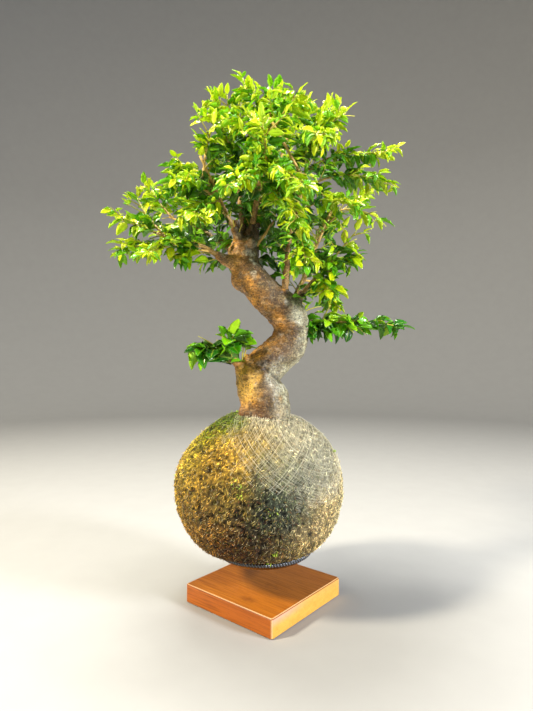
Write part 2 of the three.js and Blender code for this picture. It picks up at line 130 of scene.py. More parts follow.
# The leafy shoots of each branch: how far along it each one grows, its tip and its leaf pairs.
SHOOTS = {
    "left_low": [(0.60, (-147, -32, 377), 4), (0.85, (-149, -40, 406), 3),
                 (0.50, (-115, -62, 366), 4), (0.35, (-89, -44, 366), 3),
                 (0.95, (-135, -16, 435), 3)],
    "left_back": [(0.95, (-144, 74, 473), 3), (0.60, (-140, 100, 422), 3),
                  (0.55, (-101, 96, 472), 3)],
    "left_up": [(0.90, (-92, -40, 459), 3), (0.60, (-87, -76, 430), 4),
                (0.98, (-50, -50, 497), 3), (0.40, (-65, -96, 394), 4)],
    "top_left": [(0.95, (-57, 0, 548), 3), (0.75, (-51, -34, 514), 4),
                 (0.98, (-41, 12, 559), 3), (0.60, (-70, 58, 516), 4)],
    "top_mid": [(0.95, (-21, -16, 553), 3), (0.98, (7, -8, 556), 3),
                (0.60, (-23, -72, 497), 4), (0.80, (34, -42, 531), 4)],
    "top_back": [(0.95, (53, 52, 567), 3), (0.75, (-8, 92, 575), 3),
                 (0.50, (52, 114, 530), 3), (0.35, (-40, 112, 505), 3)],
    "front_up": [(0.98, (-1, -104, 476), 3), (0.75, (-33, -122, 412), 4),
                 (0.80, (38, -120, 412), 4), (0.50, (34, -104, 380), 4)],
    "right_tall": [(0.98, (74, 4, 541), 3), (0.93, (88, -14, 527), 3),
                   (0.78, (124, -6, 482), 4), (0.66, (126, -28, 448), 4),
                   (0.50, (84, -82, 408), 4), (0.40, (40, -78, 352), 4),
                   (0.85, (58, -84, 474), 4)],
    "right_mid": [(0.95, (96, -22, 371), 3), (0.60, (66, -40, 332), 3),
                  (0.75, (91, -58, 389), 3)],
    "right_low": [(0.90, (155, 20, 299), 4), (0.40, (65, 0, 295), 3)],
    "right_back": [(0.95, (141, 48, 427), 4), (0.75, (129, 88, 468), 3),
                   (0.50, (76, 112, 448), 3), (0.30, (83, 48, 328), 4)],
    "stump_side": [(0.95, (-67, -36, 270), 3), (0.55, (-31, -40, 287), 3)],
}
TWIG_SHARE = 0.34  # the brown part of a shoot's arch, which is grown to the wood
TWIG_RADII = (1.3, 1.0)
STEM_RADII = (1.0, 0.6)
LEAF_LENGTH = 22
FIRST_SEED = 100  # of the part's shoots, whose leaves are placed by the same random numbers
SKY = Vector((0, 0, 1))

# ---------------------------------------------------------------- meshes


def random_from(seed):
    """Repeatable random numbers from 0 to 1, as in the part's source."""
    state = seed

    def draw():
        nonlocal state
        state = (state * 1664525 + 1013904223) % 4294967296
        return state / 4294967296
    return draw


def linear(code):
    """A colour written as six hexadecimal digits, as linear red, green and blue."""
    shares = np.array([int(code[i:i + 2], 16) for i in (0, 2, 4)]) / 255
    return np.where(shares <= 0.04045, shares / 12.92, ((shares + 0.055) / 1.055) ** 2.4)


def blended(colours, code, shares):
    """Colours taken towards another one, by a share for each."""
    return colours + (linear(code) - colours) * shares[:, None]


def smooth(values, low, high):
    """Shares that rise gently from 0 at low to 1 at high, which may be the smaller one."""
    shares = np.clip((np.asarray(values, float) - low) / (high - low), 0, 1)
    return shares * shares * (3 - 2 * shares)


def noise_at(points, size, seed=0):
    """Smooth noise from -1 to 1 at points in mm, with features of about that size."""
    shift = Vector((seed * 17.3, seed * 7.1, seed * 3.7))
    return np.array([noise.noise(Vector(point) / size + shift) for point in points])


def noises(points, *layers):
    """A sum of smooth noises, each with its weight, the size of its features and its seed."""
    return sum(weight * noise_at(points, size, seed) for weight, size, seed in layers)


def unit(vectors):
    return vectors / np.linalg.norm(vectors, axis=-1, keepdims=True)


class Shape:
    """Points in mm, faces and values at the points, gathered into one mesh."""

    def __init__(self):
        self.points, self.faces, self.slots, self.values = [], [], [], {}
        self.count = 0

    def add(self, points, faces, slot=0, **values):
        """Another form, with one value for all of its points or one for each."""
        self.points.append(points)
        for group in faces:
            self.faces.append(np.asarray(group) + self.count)
            self.slots.append(np.full(len(group), slot))
        for name, value in values.items():
            value = np.asarray(value, float)
            if value.ndim == 0 or value.shape[0] != len(points):
                value = np.broadcast_to(value, (len(points),) + value.shape)
            self.values.setdefault(name, []).append((self.count, value))
        self.count += len(points)

    def object(self, name, materials=()):
        points = np.concatenate(self.points)
        mesh = bpy.data.meshes.new(name)
        mesh.vertices.add(len(points))
        mesh.vertices.foreach_set("co", (points * MM).astype(np.float32).ravel())
        sizes = np.concatenate([np.full(len(group), group.shape[1]) for group in self.faces])
        loops = np.concatenate([group.ravel() for group in self.faces])
        mesh.loops.add(len(loops))
        mesh.loops.foreach_set("vertex_index", loops.astype(np.int32))
        mesh.polygons.add(len(sizes))
        mesh.polygons.foreach_set("loop_start", (np.cumsum(sizes) - sizes).astype(np.int32))
        mesh.polygons.foreach_set("material_index", np.concatenate(self.slots).astype(np.int32))
        mesh.polygons.foreach_set("use_smooth", np.ones(len(sizes), bool))
        mesh.update(calc_edges=True)
        mesh.validate()
        for key, parts in self.values.items():
            is_colour = parts[0][1].ndim == 2
            whole = np.zeros((len(points), 4) if is_colour else len(points), np.float32)
            for start, value in parts:
                if is_colour:
                    whole[start:start + len(value), :3] = value
                    whole[start:start + len(value), 3] = 1
                else:
                    whole[start:start + len(value)] = value
            kind, field = ("FLOAT_COLOR", "color") if is_colour else ("FLOAT", "value")
            mesh.attributes.new(key, kind, "POINT").data.foreach_set(field, whole.ravel())
        for material in materials:
            mesh.materials.append(material)
        made = bpy.data.objects.new(name, mesh)
        bpy.context.scene.collection.objects.link(made)
        return made


def settle(made, node=None):
    """Lets a piece ride the ball, and stand for a node of the CAD if one is named."""
    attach(made, "ball")
    if node:
        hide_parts(node)


def piece(name, material, slot, points, faces, node=None, **values):
    """A visible piece of one form, which rides the ball."""
    shape = Shape()
    shape.add(points, faces, **values)
    settle(shape.object(name, [material]), node)


def tubes(paths, radii, sides, pointed=False):
    """Closed tubes along many paths of as many points each, as points and groups of faces."""
    paths = np.asarray(paths, float)
    radii = np.asarray(radii, float)
    count, steps = paths.shape[:2]
    tangents = unit(np.gradient(paths, axis=1))
    across = np.zeros((count, 3))
    across[np.arange(count), np.abs(tangents[:, 0]).argmin(1)] = 1
    turn = 2 * math.pi * np.arange(sides) / sides
    rings = np.empty((count, steps, sides, 3))
    for i in range(steps):
        tangent = tangents[:, i]
        across = unit(across - (across * tangent).sum(1, keepdims=True) * tangent)
        over = np.cross(tangent, across)
        offset = (np.cos(turn)[None, :, None] * across[:, None]
                  + np.sin(turn)[None, :, None] * over[:, None])
        rings[:, i] = paths[:, i, None] + radii[:, i, None, None] * offset
    index = np.arange(count * steps * sides).reshape(count, steps, sides)
    following = np.roll(index, -1, axis=2)
    last = steps - 1 if not pointed else steps - 2
    quads = np.stack([index[:, :last], following[:, :last],
                      following[:, 1:last + 1], index[:, 1:last + 1]], -1).reshape(-1, 4)
    faces = [quads, index[:, 0, ::-1].reshape(-1, sides)]
    points = rings.reshape(-1, 3)
    if pointed:
        keep = np.ones((count, steps, sides), bool)
        keep[:, -1, 1:] = False
        number = np.cumsum(keep.ravel()) - 1
        tips = np.repeat(index[:, -1, :1], sides, 1)
        faces.append(np.stack([index[:, -2], following[:, -2], tips], -1).reshape(-1, 3))
        points = points[keep.ravel()]
        faces = [number[group] for group in faces]
    else:
        faces.append(index[:, -1].reshape(-1, sides))
    return points, faces


def turned(profile, segments, shape_of=None):
    """A closed profile of (radius, height) pairs that starts and ends on the axis, turned."""
    profile = np.asarray(profile, float)
    turn = 2 * math.pi * np.arange(segments) / segments
    inner = profile[1:-1]
    points = np.stack([inner[:, :1] * np.cos(turn), inner[:, :1] * np.sin(turn),
                       np.repeat(inner[:, 1:], segments, 1)], -1)
    if shape_of:
        points = shape_of(points, turn)
    index = np.arange(points.shape[0] * segments).reshape(-1, segments)
    following = np.roll(index, -1, axis=1)
    low, high = index.size, index.size + 1
    quads = np.stack([index[:-1], following[:-1], following[1:], index[1:]], -1).reshape(-1, 4)
    foot = np.stack([following[0], index[0], np.full(segments, low)], -1)
    head = np.stack([index[-1], following[-1], np.full(segments, high)], -1)
    ends = np.array([[0, 0, profile[0, 1]], [0, 0, profile[-1, 1]]])
    return np.concatenate([points.reshape(-1, 3), ends]), [quads, foot, head]


def curve_through(stations, step):
    """A smooth line through stations of any number of values, with points about a step apart."""
    stations = np.asarray(stations, float)
    padded = np.concatenate([[2 * stations[0] - stations[1]], stations,
                             [2 * stations[-1] - stations[-2]]])
    points = []
    for a, b, c, d in zip(padded, padded[1:], padded[2:], padded[3:]):
        pieces = max(1, round(np.linalg.norm((c - b)[:3]) / step))
        for t in np.arange(pieces) / pieces:
            points.append(0.5 * (2 * b + (c - a) * t + (2 * a - 5 * b + 4 * c - d) * t ** 2
                                 + (3 * b - a - 3 * c + d) * t ** 3))
    return np.array(points + [stations[-1]])


def remeshed(points, faces, voxel):
    """One skin around overlapping closed meshes, as points, faces and normals."""
    shape = Shape()
    shape.add(points, faces)
    source = shape.object("remesh_source")
    modifier = source.modifiers.new("remesh", "REMESH")
    modifier.mode = "VOXEL"
    modifier.voxel_size = voxel * MM
    graph = bpy.context.evaluated_depsgraph_get()
    mesh = bpy.data.meshes.new_from_object(source.evaluated_get(graph))
    bpy.data.objects.remove(source)
    place = np.empty(len(mesh.vertices) * 3, np.float32)
    mesh.vertices.foreach_get("co", place)
    normals = np.empty(len(mesh.vertices) * 3, np.float32)
    mesh.vertices.foreach_get("normal", normals)
    quads = np.empty(len(mesh.polygons) * 4, np.int32)
    mesh.polygons.foreach_get("vertices", quads)
    bpy.data.meshes.remove(mesh)
    return place.reshape(-1, 3) / MM, [quads.reshape(-1, 4)], normals.reshape(-1, 3)


# ---------------------------------------------------------------- materials


class Material:
    """A material whose nodes are made and joined by short calls."""

    def __init__(self, name, numbers):
        self.data = bpy.data.materials.new(name)
        self.data.use_nodes = True
        self.tree = self.data.node_tree
        self.shader = self.tree.nodes["Principled BSDF"]
        for socket, number in numbers.items():
            self.shader.inputs[socket].default_value = number

    def put(self, socket, value):
        """Joins another node's output to a socket, or sets the number or colour there."""
        if isinstance(value, bpy.types.NodeSocket):
            self.tree.links.new(value, socket)
        elif socket.type == "RGBA":
            socket.default_value = (*value, 1)
        else:
            socket.default_value = value

    def add(self, kind, inputs, **settings):
        node = self.tree.nodes.new("ShaderNode" + kind)
        for name, value in settings.items():
            setattr(node, name, value)
        for socket, value in inputs.items():
            self.put(node.inputs[socket], value)
        return node

    def math(self, operation, a, b=0.0):
        return self.add("Math", {0: a, 1: b}, operation=operation).outputs[0]

    def plus(self, a, b):
        return self.math("ADD", a, b)

    def minus(self, a, b):
        return self.math("SUBTRACT", a, b)

    def times(self, a, b):
        return self.math("MULTIPLY", a, b)

    def absolute(self, a):
        return self.math("ABSOLUTE", a)

    def axes(self, vector):
        return self.add("SeparateXYZ", {0: vector}).outputs

    def span(self, value, low, high, start=0.0, end=1.0):
        """A smooth step from start to end, while a value goes from low to high."""
        return self.add("MapRange", {0: value, 1: low, 2: high, 3: start, 4: end},
                        interpolation_type="SMOOTHSTEP").outputs[0]

    def mix(self, share, a, b, blend="MIX"):
        return self.add("Mix", {0: share, 6: a, 7: b}, data_type="RGBA",
                        blend_type=blend).outputs[2]

    def two_tone(self, share, first, second):
        """From the first colour to the second, by a share."""
        return self.mix(share, linear(first), linear(second))

    def over(self, colour, code, share):
        """The colour, taken towards another one by a share."""
        return self.mix(share, colour, linear(code))

    def where(self, colour, code, value, low, high, most):
        """The colour, taken towards another one while a value goes from low to high."""
        return self.over(colour, code, self.span(value, low, high, 0.0, most))

    def filtered(self, colour, code, share, blend="MULTIPLY"):
        """The colour, taken by a share towards itself multiplied or screened by another."""
        return self.mix(share, colour, self.mix(1.0, colour, linear(code), blend))

    def value(self, name):
        return self.add("Attribute", {}, attribute_name=name).outputs["Fac"]

    def colour(self, name):
        return self.add("Attribute", {}, attribute_name=name).outputs["Color"]

    def rotated(self, vector, turn):
        return self.add("VectorRotate", {"Vector": vector, "Angle": turn},
                        rotation_type="Z_AXIS").outputs[0]

    def place(self, stretch=(1, 1, 1), turn=0.0):
        """Coordinates on the object in metres, turned about Z and then stretched."""
        at = self.add("TexCoord", {}).outputs["Object"]
        if turn:
            at = self.rotated(at, turn)
        return self.add("VectorMath", {0: at, 1: stretch}, operation="MULTIPLY").outputs[0]

    def noise(self, size, at=None, detail=3.0, distortion=0.0, rough=0.55):
        """Noise with features of about that size in mm."""
        return self.add("TexNoise", {"Vector": at or self.place(), "Scale": 1 / (size * MM),
                                     "Detail": detail, "Distortion": distortion,
                                     "Roughness": rough}).outputs[0]

    def bump(self, height, depth, strength=1.0):
        """Relief of that depth in mm."""
        node = self.add("Bump", {"Height": height, "Distance": depth * MM, "Strength": strength})
        self.put(self.shader.inputs["Normal"], node.outputs[0])
        return node.outputs[0]

    def finish(self, colour, roughness=None):
        self.put(self.shader.inputs["Base Color"], colour)
        if roughness is not None:
            self.put(self.shader.inputs["Roughness"], roughness)
        return self.data


LEAF_COLOURS = ("eef414", "bee60c", "6ec20a", "26840c", "06400e")  # from bright to dark
LEAF_VEINS = 8.0  # along a leaf, on each side of its midrib
VEIN_SLANT = 2.2
TRANSLUCENCE = 0.3


def leaf_material():
    """A glossy leaf in the tone at each point, with a pale midrib, veins, edge and under side."""
    made = Material("leaf", {"Coat Weight": 0.38, "Coat Roughness": 0.09,
                             "Specular IOR Level": 0.45})
    under = made.value("under")
    wander = made.noise(7, detail=2)
    shade = made.plus(made.value("tone"), made.times(made.minus(wander, 0.5), 0.4))
    ramp = made.add("ValToRGB", {"Fac": shade})
    stops = ramp.color_ramp.elements
    for _ in LEAF_COLOURS[2:]:
        stops.new(0.5)
    for number, (stop, code) in enumerate(zip(stops, LEAF_COLOURS)):
        stop.position = number / (len(LEAF_COLOURS) - 1)
        stop.color = (*linear(code), 1)
    side = made.absolute(made.value("beside"))
    rib = made.minus(1.0, made.span(side, 0.03, 0.13))
    slope = made.minus(made.times(made.value("along"), LEAF_VEINS), made.times(side, VEIN_SLANT))
    wave = made.absolute(made.math("SINE", made.times(slope, math.pi)))
    vein = made.minus(1.0, made.span(wave, 0.0, 0.3))
    colour = made.over(ramp.outputs[0], "b4d832", made.times(vein, 0.12))
    colour = made.over(colour, "c8e044", made.times(rib, 0.4))
    colour = made.where(colour, "b2d428", side, 0.85, 1.0, 0.15)
    colour = made.over(colour, "7fb428", made.times(under, 0.3))
    relief = made.plus(made.times(vein, -0.5), made.times(rib, -1.0))
    normal = made.bump(relief, 0.3, 0.8)
    dullness = made.plus(made.times(under, 0.25), made.span(wander, 0.2, 0.8, 0.24, 0.38))
    made.finish(colour, dullness)
    glow = made.add("BsdfTranslucent", {"Color": made.over(colour, "c8f008", 0.4),
                                        "Normal": normal})
    both = made.add("MixShader", {0: TRANSLUCENCE, 1: made.shader.outputs[0],
                                  2: glow.outputs[0]})
    made.put(made.tree.nodes["Material Output"].inputs["Surface"], both.outputs[0])
    return made.data


def stem_material():
    """Tan at the shoot's root, where the tone is 1, and green at its tip."""
    made = Material("green_stem", {"Roughness": 0.5})
    streak = made.noise(2.5, made.place((1, 1, 0.25)))
    young = made.two_tone(streak, "d0cc4c", "a6b030")
    old = made.two_tone(streak, "cca050", "9c7430")
    made.bump(streak, 0.2)
    return made.finish(made.mix(made.value("tone"), young, old))


def bark_material():
    """Bark in the tint at each point, with pits, flakes and specks, and sawn wood on the cuts."""
    made = Material("bark", {"Specular IOR Level": 0.42, "Coat Weight": 0.14,
                             "Coat Roughness": 0.25})
    coarse = made.noise(12, detail=4)
    fine = made.noise(2.4, made.place((1, 1, 1.7)), detail=5, rough=0.68)
    speck = made.noise(1.6, detail=3, rough=0.62)
    flake = made.noise(4.2, made.place((1, 1, 1.4)), detail=4, distortion=0.8)
    age = made.minus(1.0, made.times(made.value("young"), 0.8))

    def aged(value, low, high, most):
        return made.times(age, made.span(value, low, high, 0.0, most))
    colour = made.over(made.colour("tint"), "5e4426", aged(coarse, 0.42, 0.7, 0.35))
    colour = made.filtered(colour, "ffe0a8", aged(flake, 0.55, 0.68, 0.14), "SCREEN")
    colour = made.over(colour, "2e2010", aged(fine, 0.5, 0.62, 0.7))
    colour = made.over(colour, "dcae62", aged(speck, 0.58, 0.66, 0.3))
    colour = made.over(colour, "1e1406", aged(speck, 0.42, 0.33, 0.65))
    rings = made.noise(3.2, made.place((1, 1, 0.2)), detail=4)
    colour = made.mix(made.value("cut"), colour, made.two_tone(rings, "d0964a", "7e5226"))
    made.bump(made.plus(made.times(fine, -0.9), made.times(flake, 0.7)), 1.3, 0.85)
    return made.finish(colour, made.span(fine, 0.3, 0.7, 0.36, 0.66))


def moss_material(name, grain_depth):
    """Matted fibre: each fibre's colour, with finer grain and dark flecks on it."""
    made = Material(name, {"Roughness": 0.85, "Sheen Weight": 0.04, "Sheen Roughness": 0.6,
                           "Specular IOR Level": 0.25})
    blotch = made.span(made.noise(6, detail=4), 0.5, 0.7, 0.0, 0.45)
    grain = made.noise(1.1, detail=3, rough=0.7)
    colour = made.filtered(made.colour("tint"), "8a7a5c", blotch)
    colour = made.where(colour, "1a150b", grain, 0.45, 0.75, 0.35 * grain_depth)
    made.bump(grain, grain_depth, 0.9)
    return made.finish(colour)


def thread_material():
    """Pale thread that takes half of its colour from the moss behind it."""
    made = Material("binding_thread", {"Roughness": 0.6, "Specular IOR Level": 0.35})
    twist = made.noise(0.7, detail=1)
    colour = made.over(made.colour("tint"), "f8f4e4", 0.5)
    colour = made.where(colour, "6f6248", twist, 0.4, 0.8, 0.5)
    made.bump(twist, 0.15)
    return made.finish(colour)


def tuft_material():
    made = Material("green_tuft", {"Roughness": 0.6})
    patch = made.noise(2.5, detail=2)
    made.bump(patch, 0.2)
    return made.finish(made.two_tone(patch, "8fc21e", "d2e850"))


# Knots in the base's top: their place, the radii between which they are dark, and how dark.
KNOTS = [((16, -44), (0, 8), 0.6), ((16, -7), (3.5, 6), 0.3)]
KNOT_STRETCH = 0.55  # along the grain
KNOT_FADE = 3
# The bevel's bright line is a painted highlight, and below it the top bevel has painted shade.
BEVEL_HIGHLIGHT_DEPTHS = (0.5, 0.75)  # between these depths below the top, a bevel's bright line fades out
SIDE_FACE = (0.6, 0.9)  # where a face's normal goes from another direction to this one


def base_wood_material():
    """Oiled wood: grain along X and growth rings on its ends, with painted light: a bright line on
    its edges that is a painted highlight, painted shade on the lower part of its top bevels, and
    end and side faces painted lighter than the top.
    """
    made = Material("base_wood", {"Coat Weight": 0.1, "Coat Roughness": 0.3,
                                  "Specular IOR Level": 0.35})

    def at(x, y=1, z=1):
        return made.place((x, y, z), -BASE_TURN)
    grain = made.noise(1.4, at(0.035), detail=4, rough=0.6)
    streak = made.noise(5.5, at(0.05, 1, 0.6), detail=3, distortion=0.4)
    pore = made.noise(0.55, at(0.08), detail=1)
    cloud = made.noise(60, at(0.5), detail=2)
    colour = made.two_tone(streak, "9c540e", "c4791b")
    colour = made.where(colour, "6e3a06", grain, 0.42, 0.68, 0.6)
    colour = made.where(colour, "aa601a", cloud, 0.35, 0.65, 0.3)
    colour = made.where(colour, "5e2c0c", pore, 0.62, 0.74, 0.45)
    warp = made.times(made.minus(made.noise(5, detail=2), 0.5), 9 * MM)
    for (x, y), (near, far), depth in KNOTS:
        middle = (KNOT_STRETCH * x * MM, y * MM, 0)
        away = made.add("VectorMath", {0: at(KNOT_STRETCH, 1, 0), 1: middle},
                        operation="DISTANCE")
        away = made.plus(away.outputs["Value"], warp)
        knot = made.times(made.span(away, far * MM, near * MM, 0, depth),
                          made.span(away, (near - KNOT_FADE) * MM, near * MM))
        colour = made.over(colour, "6a3408", knot)

    facing = made.rotated(made.add("NewGeometry", {}).outputs["Normal"], -BASE_TURN)
    to_end, to_side, up = [made.absolute(axis) for axis in made.axes(facing)]
    spot = made.axes(at(1))
    # Painted light: the end grain is much lighter than the top, and the side faces are screened
    # lighter too, as light falls on those faces.
    rings = made.noise(9, at(1, 1, 2.4), detail=3, distortion=0.8)
    end_grain = made.two_tone(rings, "eab656", "c98e30")
    end_grain = made.where(end_grain, "9c642a", made.noise(0.9, detail=3), 0.6, 0.68, 0.55)
    blush = made.times(made.span(spot[2], 9 * MM, 19 * MM, 0.0, 0.6),
                       made.span(spot[1], 5 * MM, -45 * MM, 0.15, 1.0))
    end_grain = made.over(end_grain, "cfa0a0", blush)
    colour = made.mix(made.span(to_end, *SIDE_FACE), colour, end_grain)
    colour = made.filtered(colour, "ffd0a0", made.span(to_side, *SIDE_FACE, 0.0, 0.5))

    # Painted highlight along the bevels, with painted shade on the lower part of each top bevel,
    # which keeps the highlight a thin line.
    most = made.math("MAXIMUM", made.math("MAXIMUM", to_end, to_side), up)
    edge = made.span(most, 0.97, 0.85)
    line_start, line_end = [(BASE_HEIGHT - drop) * MM for drop in BEVEL_HIGHLIGHT_DEPTHS]
    under = made.times(made.times(made.span(up, 0.5, 0.6), edge),
                       made.span(spot[2], line_start, line_end))
    colour = made.filtered(colour, "c9b49a", under)
    colour = made.over(colour, "ffe4ac", made.times(made.minus(edge, under), 0.34))
    made.bump(made.plus(grain, pore), 0.12, 0.5)
    return made.finish(colour, made.span(grain, 0.3, 0.7, 0.34, 0.46))


def simple_material(name, light, dark, size, roughness, metallic=0.0, stretch=(1, 1, 1),
                    depth=0.1):
    """Two colours in a noise of that size, with relief and a roughness that follow it."""
    made = Material(name, {"Metallic": metallic})
    pattern = made.noise(size, made.place(stretch), detail=4)
    made.bump(pattern, depth)
    return made.finish(made.two_tone(pattern, light, dark),
                       made.span(pattern, 0.3, 0.7, roughness, roughness + 0.12))


leaf_finish = leaf_material()
stem_finish = stem_material()
bark_finish = bark_material()

# ---------------------------------------------------------------- the trunk and the branches

# Burrs and swellings that widen the trunk: their middle and their radius.
BULGES = [((17, -13, 213), 11.5), ((-14, -22, 206), 13), ((2, 2, 206), 16), ((34, 0, 296), 14),
          ((-17, -13, 262), 6), ((20, -10, 324), 9), ((-12, -14, 388), 6), ((-19, -4, 353), 18)]
COLLAR_STATIONS = 9
COLLAR_WIDENING = (2.3, 1.12)  # of a branch where it leaves the trunk, and at its collar's end
TRUNK_TOP_Z = 400  # a branch that starts higher grows on another branch and has no collar
SKIN_VOXEL = 1.05


def trunk_skin():
    """The trunk, its stumps and the collars of its branches as one skin."""
    parts = Shape()
    stations = np.concatenate([curve_through(TRUNK, 3), [[-20, 3, 399, 8]]])
    parts.add(*tubes([stations[:, :3]], [stations[:, 3]], 48))
    for stump in STUMPS:
        line = curve_through(stump, 3)
        parts.add(*tubes([line[:, :3]], [line[:, 3]], 24))
    for thick, _, line in BRANCHES.values():
        if line[0][2] <= TRUNK_TOP_Z:
            path = curve_through(line, 3)[:COLLAR_STATIONS]
            radii = thick * np.linspace(*COLLAR_WIDENING, len(path)) ** 1.1
            parts.add(*tubes([path], [radii], 16))
    for centre, radius in BULGES:
        angles = np.linspace(-math.pi / 2, math.pi / 2, 12)
        points, faces = turned([(radius * math.cos(a), radius * math.sin(a)) for a in angles], 20)
        parts.add(points + np.array(centre), faces)
    return remeshed(np.concatenate(parts.points), parts.faces, SKIN_VOXEL)


def near_line(points, start, end):
    """How far points lie from a line in the picture's plane, in mm."""
    a, b = np.array(start, float), np.array(end, float)
    flat = points[:, [0, 2]]
    share = np.clip(((flat - a) @ (b - a)) / ((b - a) @ (b - a)), 0, 1)
    return np.linalg.norm(flat - a - share[:, None] * (b - a), axis=1)


def from_axis(points, origin, axis):
    """How far along an axis points lie, and how far beside it, in mm."""
    offsets = points - np.array(origin)
    reach = offsets @ axis
    return reach, np.linalg.norm(offsets - reach[:, None] * axis, axis=1)


# Cracks and folds in the front of the trunk: where they start and end in the picture's plane,
# the weight, size and seed of their wandering, their width, their depth and how dark they are,
# which is painted shade in them.
CRACKS = [
    ((-3, 258), (19, 239), (1.2, 4, 5), 1.5, 1.5, 1.0),
    ((3, 297), (33, 287), (1.5, 5, 6), 2.0, 0.7, 0.5),
    ((-20, 258), (4, 251), (1.2, 4, 7), 1.6, 1.0, 0.8),
]

# Scars that shed twigs left in the bark: their middle and their size.
SCARS = [((1, -28, 318), 4.2), ((2, -28, 268), 3.4), ((-19, -30, 244), 4), ((-6, -26, 350), 3),
         ((-2, -34, 228), 3), ((16, -30, 222), 3.4), ((-28, -14, 376), 3.2), ((30, -18, 300), 3.2)]

# The trunk's top stumps are ragged and weathered, and the low one is sawn smooth.
RAGGED_ABOVE_Z = 380


def stump_cuts(points):
    """How far points lie on the cut end of a stump, from 0 to 1, and how ragged it is there."""
    cut, ragged = np.zeros(len(points)), np.zeros(len(points))
    for start, end in STUMPS:
        axis = unit(np.array(end[:3], float) - np.array(start[:3]))
        beyond, beside = from_axis(points, end[:3], axis)
        face = smooth(beyond, -1.6, -0.4) * (beside < end[3] + 2)
        cut = np.maximum(cut, face)
        ragged = np.maximum(ragged, face * noise_at(points, 2.4, 8))
    return cut, ragged


# Patches of bark with a colour of their own, and patches of painted light and shade: where,
# how large, the colour and how far it takes.
BARK_PATCHES_AND_PAINTED_LIGHT = [
    # painted warm light on the lower left
    ((-24, -30, 236), 30, "ffcc58", 1.0),
    # painted warm light on the upper left
    ((-34, -14, 368), 14, "e0aa5c", 0.7),
    # painted pale highlight low on the right
    ((13, -34, 238), 18, "bdb9a4", 0.7),
    # painted shade along the trunk's middle, low down
    ((0, -36, 230), 15, "5c4222", 0.8),
    # painted shade under the bend
    ((22, -20, 280), 24, "5c401e", 0.8),
    # painted shade along the trunk's middle, higher up
    ((4, -22, 338), 20, "4c381c", 0.8),
    # painted pale highlight on the right of the bend
    ((42, -16, 313), 24, "b2b296", 0.75),
    ((-6, -20, 384), 18, "a3a48c", 0.8),
    ((10, -24, 301), 13, "cc9644", 0.7),
    ((-8, -38, 206), 17, "4c2c10", 0.85),
    ((16, -34, 208), 14, "c8b48c", 0.6),
]


def bark_tint(points, normals, dark, knot):
    """The colour of the trunk's bark: tan on the left, grey on the right and brown between. The
    tan and grey are in part painted light, of the warm key light on the left and the cool light on
    the right.
    """
    # Painted light: bark that faces left is tinted warm tan, and bark that faces right pale grey.
    west = -normals[:, 0] + noises(points, (0.22, 12, 9), (0.1, 4, 10))
    warm_lit_side = smooth(west, -0.2, 0.5)
    pale = smooth(-west, 0.15, 0.7) * (1 - 0.7 * smooth(points[:, 2], 322, 336))
    tan, brown, grey = linear("b67e2e"), linear("563c1c"), linear("8e8b70")
    tint = brown + (tan - brown) * warm_lit_side[:, None] + (grey - brown) * pale[:, None]
    ash = smooth(noises(points, (1, 9, 11), (0.5, 3, 12)), 0.12, 0.5)
    ash_low = smooth(np.abs(points[:, 2] - 245), 26, 10) * smooth(points[:, 0], -6, 6)
    ash_high = smooth(points[:, 2], 340, 372) * smooth(points[:, 0], -24, -14)
    ash_zone = np.maximum(ash_low, ash_high)
    tint = blended(tint, "c6c4b2", 0.7 * ash * np.maximum(ash_zone, 0.3))
    stain = smooth(noises(points, (1, 13, 15), (0.4, 4, 16)), 0.2, 0.55)
    tint = blended(tint, "54502a", 0.45 * stain)
    calm = np.zeros(len(points))
    for centre, size, code, blend in BARK_PATCHES_AND_PAINTED_LIGHT:
        near = smooth(np.linalg.norm(points - np.array(centre), axis=1), size, 0.25 * size)
        near = near * (0.75 + 0.25 * noise_at(points, 6, 19))
        tint = blended(tint, code, blend * near)
        calm = np.maximum(calm, blend * near)
    low = smooth(points[:, 2], 226, 206) * (0.4 + 0.6 * smooth(noise_at(points, 7, 13), -0.3, 0.4))
    tint = blended(tint, "6a3c12", 0.75 * low * warm_lit_side)
    tint = blended(tint, "d8a050", 0.65 * knot)
    mottle = noises(points, (0.7, 15, 21), (0.8, 7, 17), (1, 2.3, 18))
    tint = tint * np.exp((0.85 - 0.45 * calm) * mottle)[:, None].clip(0.2, 2.4)
    # Painted shade in the cracks and in the bend's fold.
    tint = tint * (1 - 0.72 * dark)[:, None]
    foot, end = [np.array(station[:3]) for station in STUMPS[1]]
    reach, beside = from_axis(points, foot, unit(end - foot))
    return blended(tint, "40301f", 0.75 * smooth(reach, 10, 17) * smooth(beside, 13, 9))


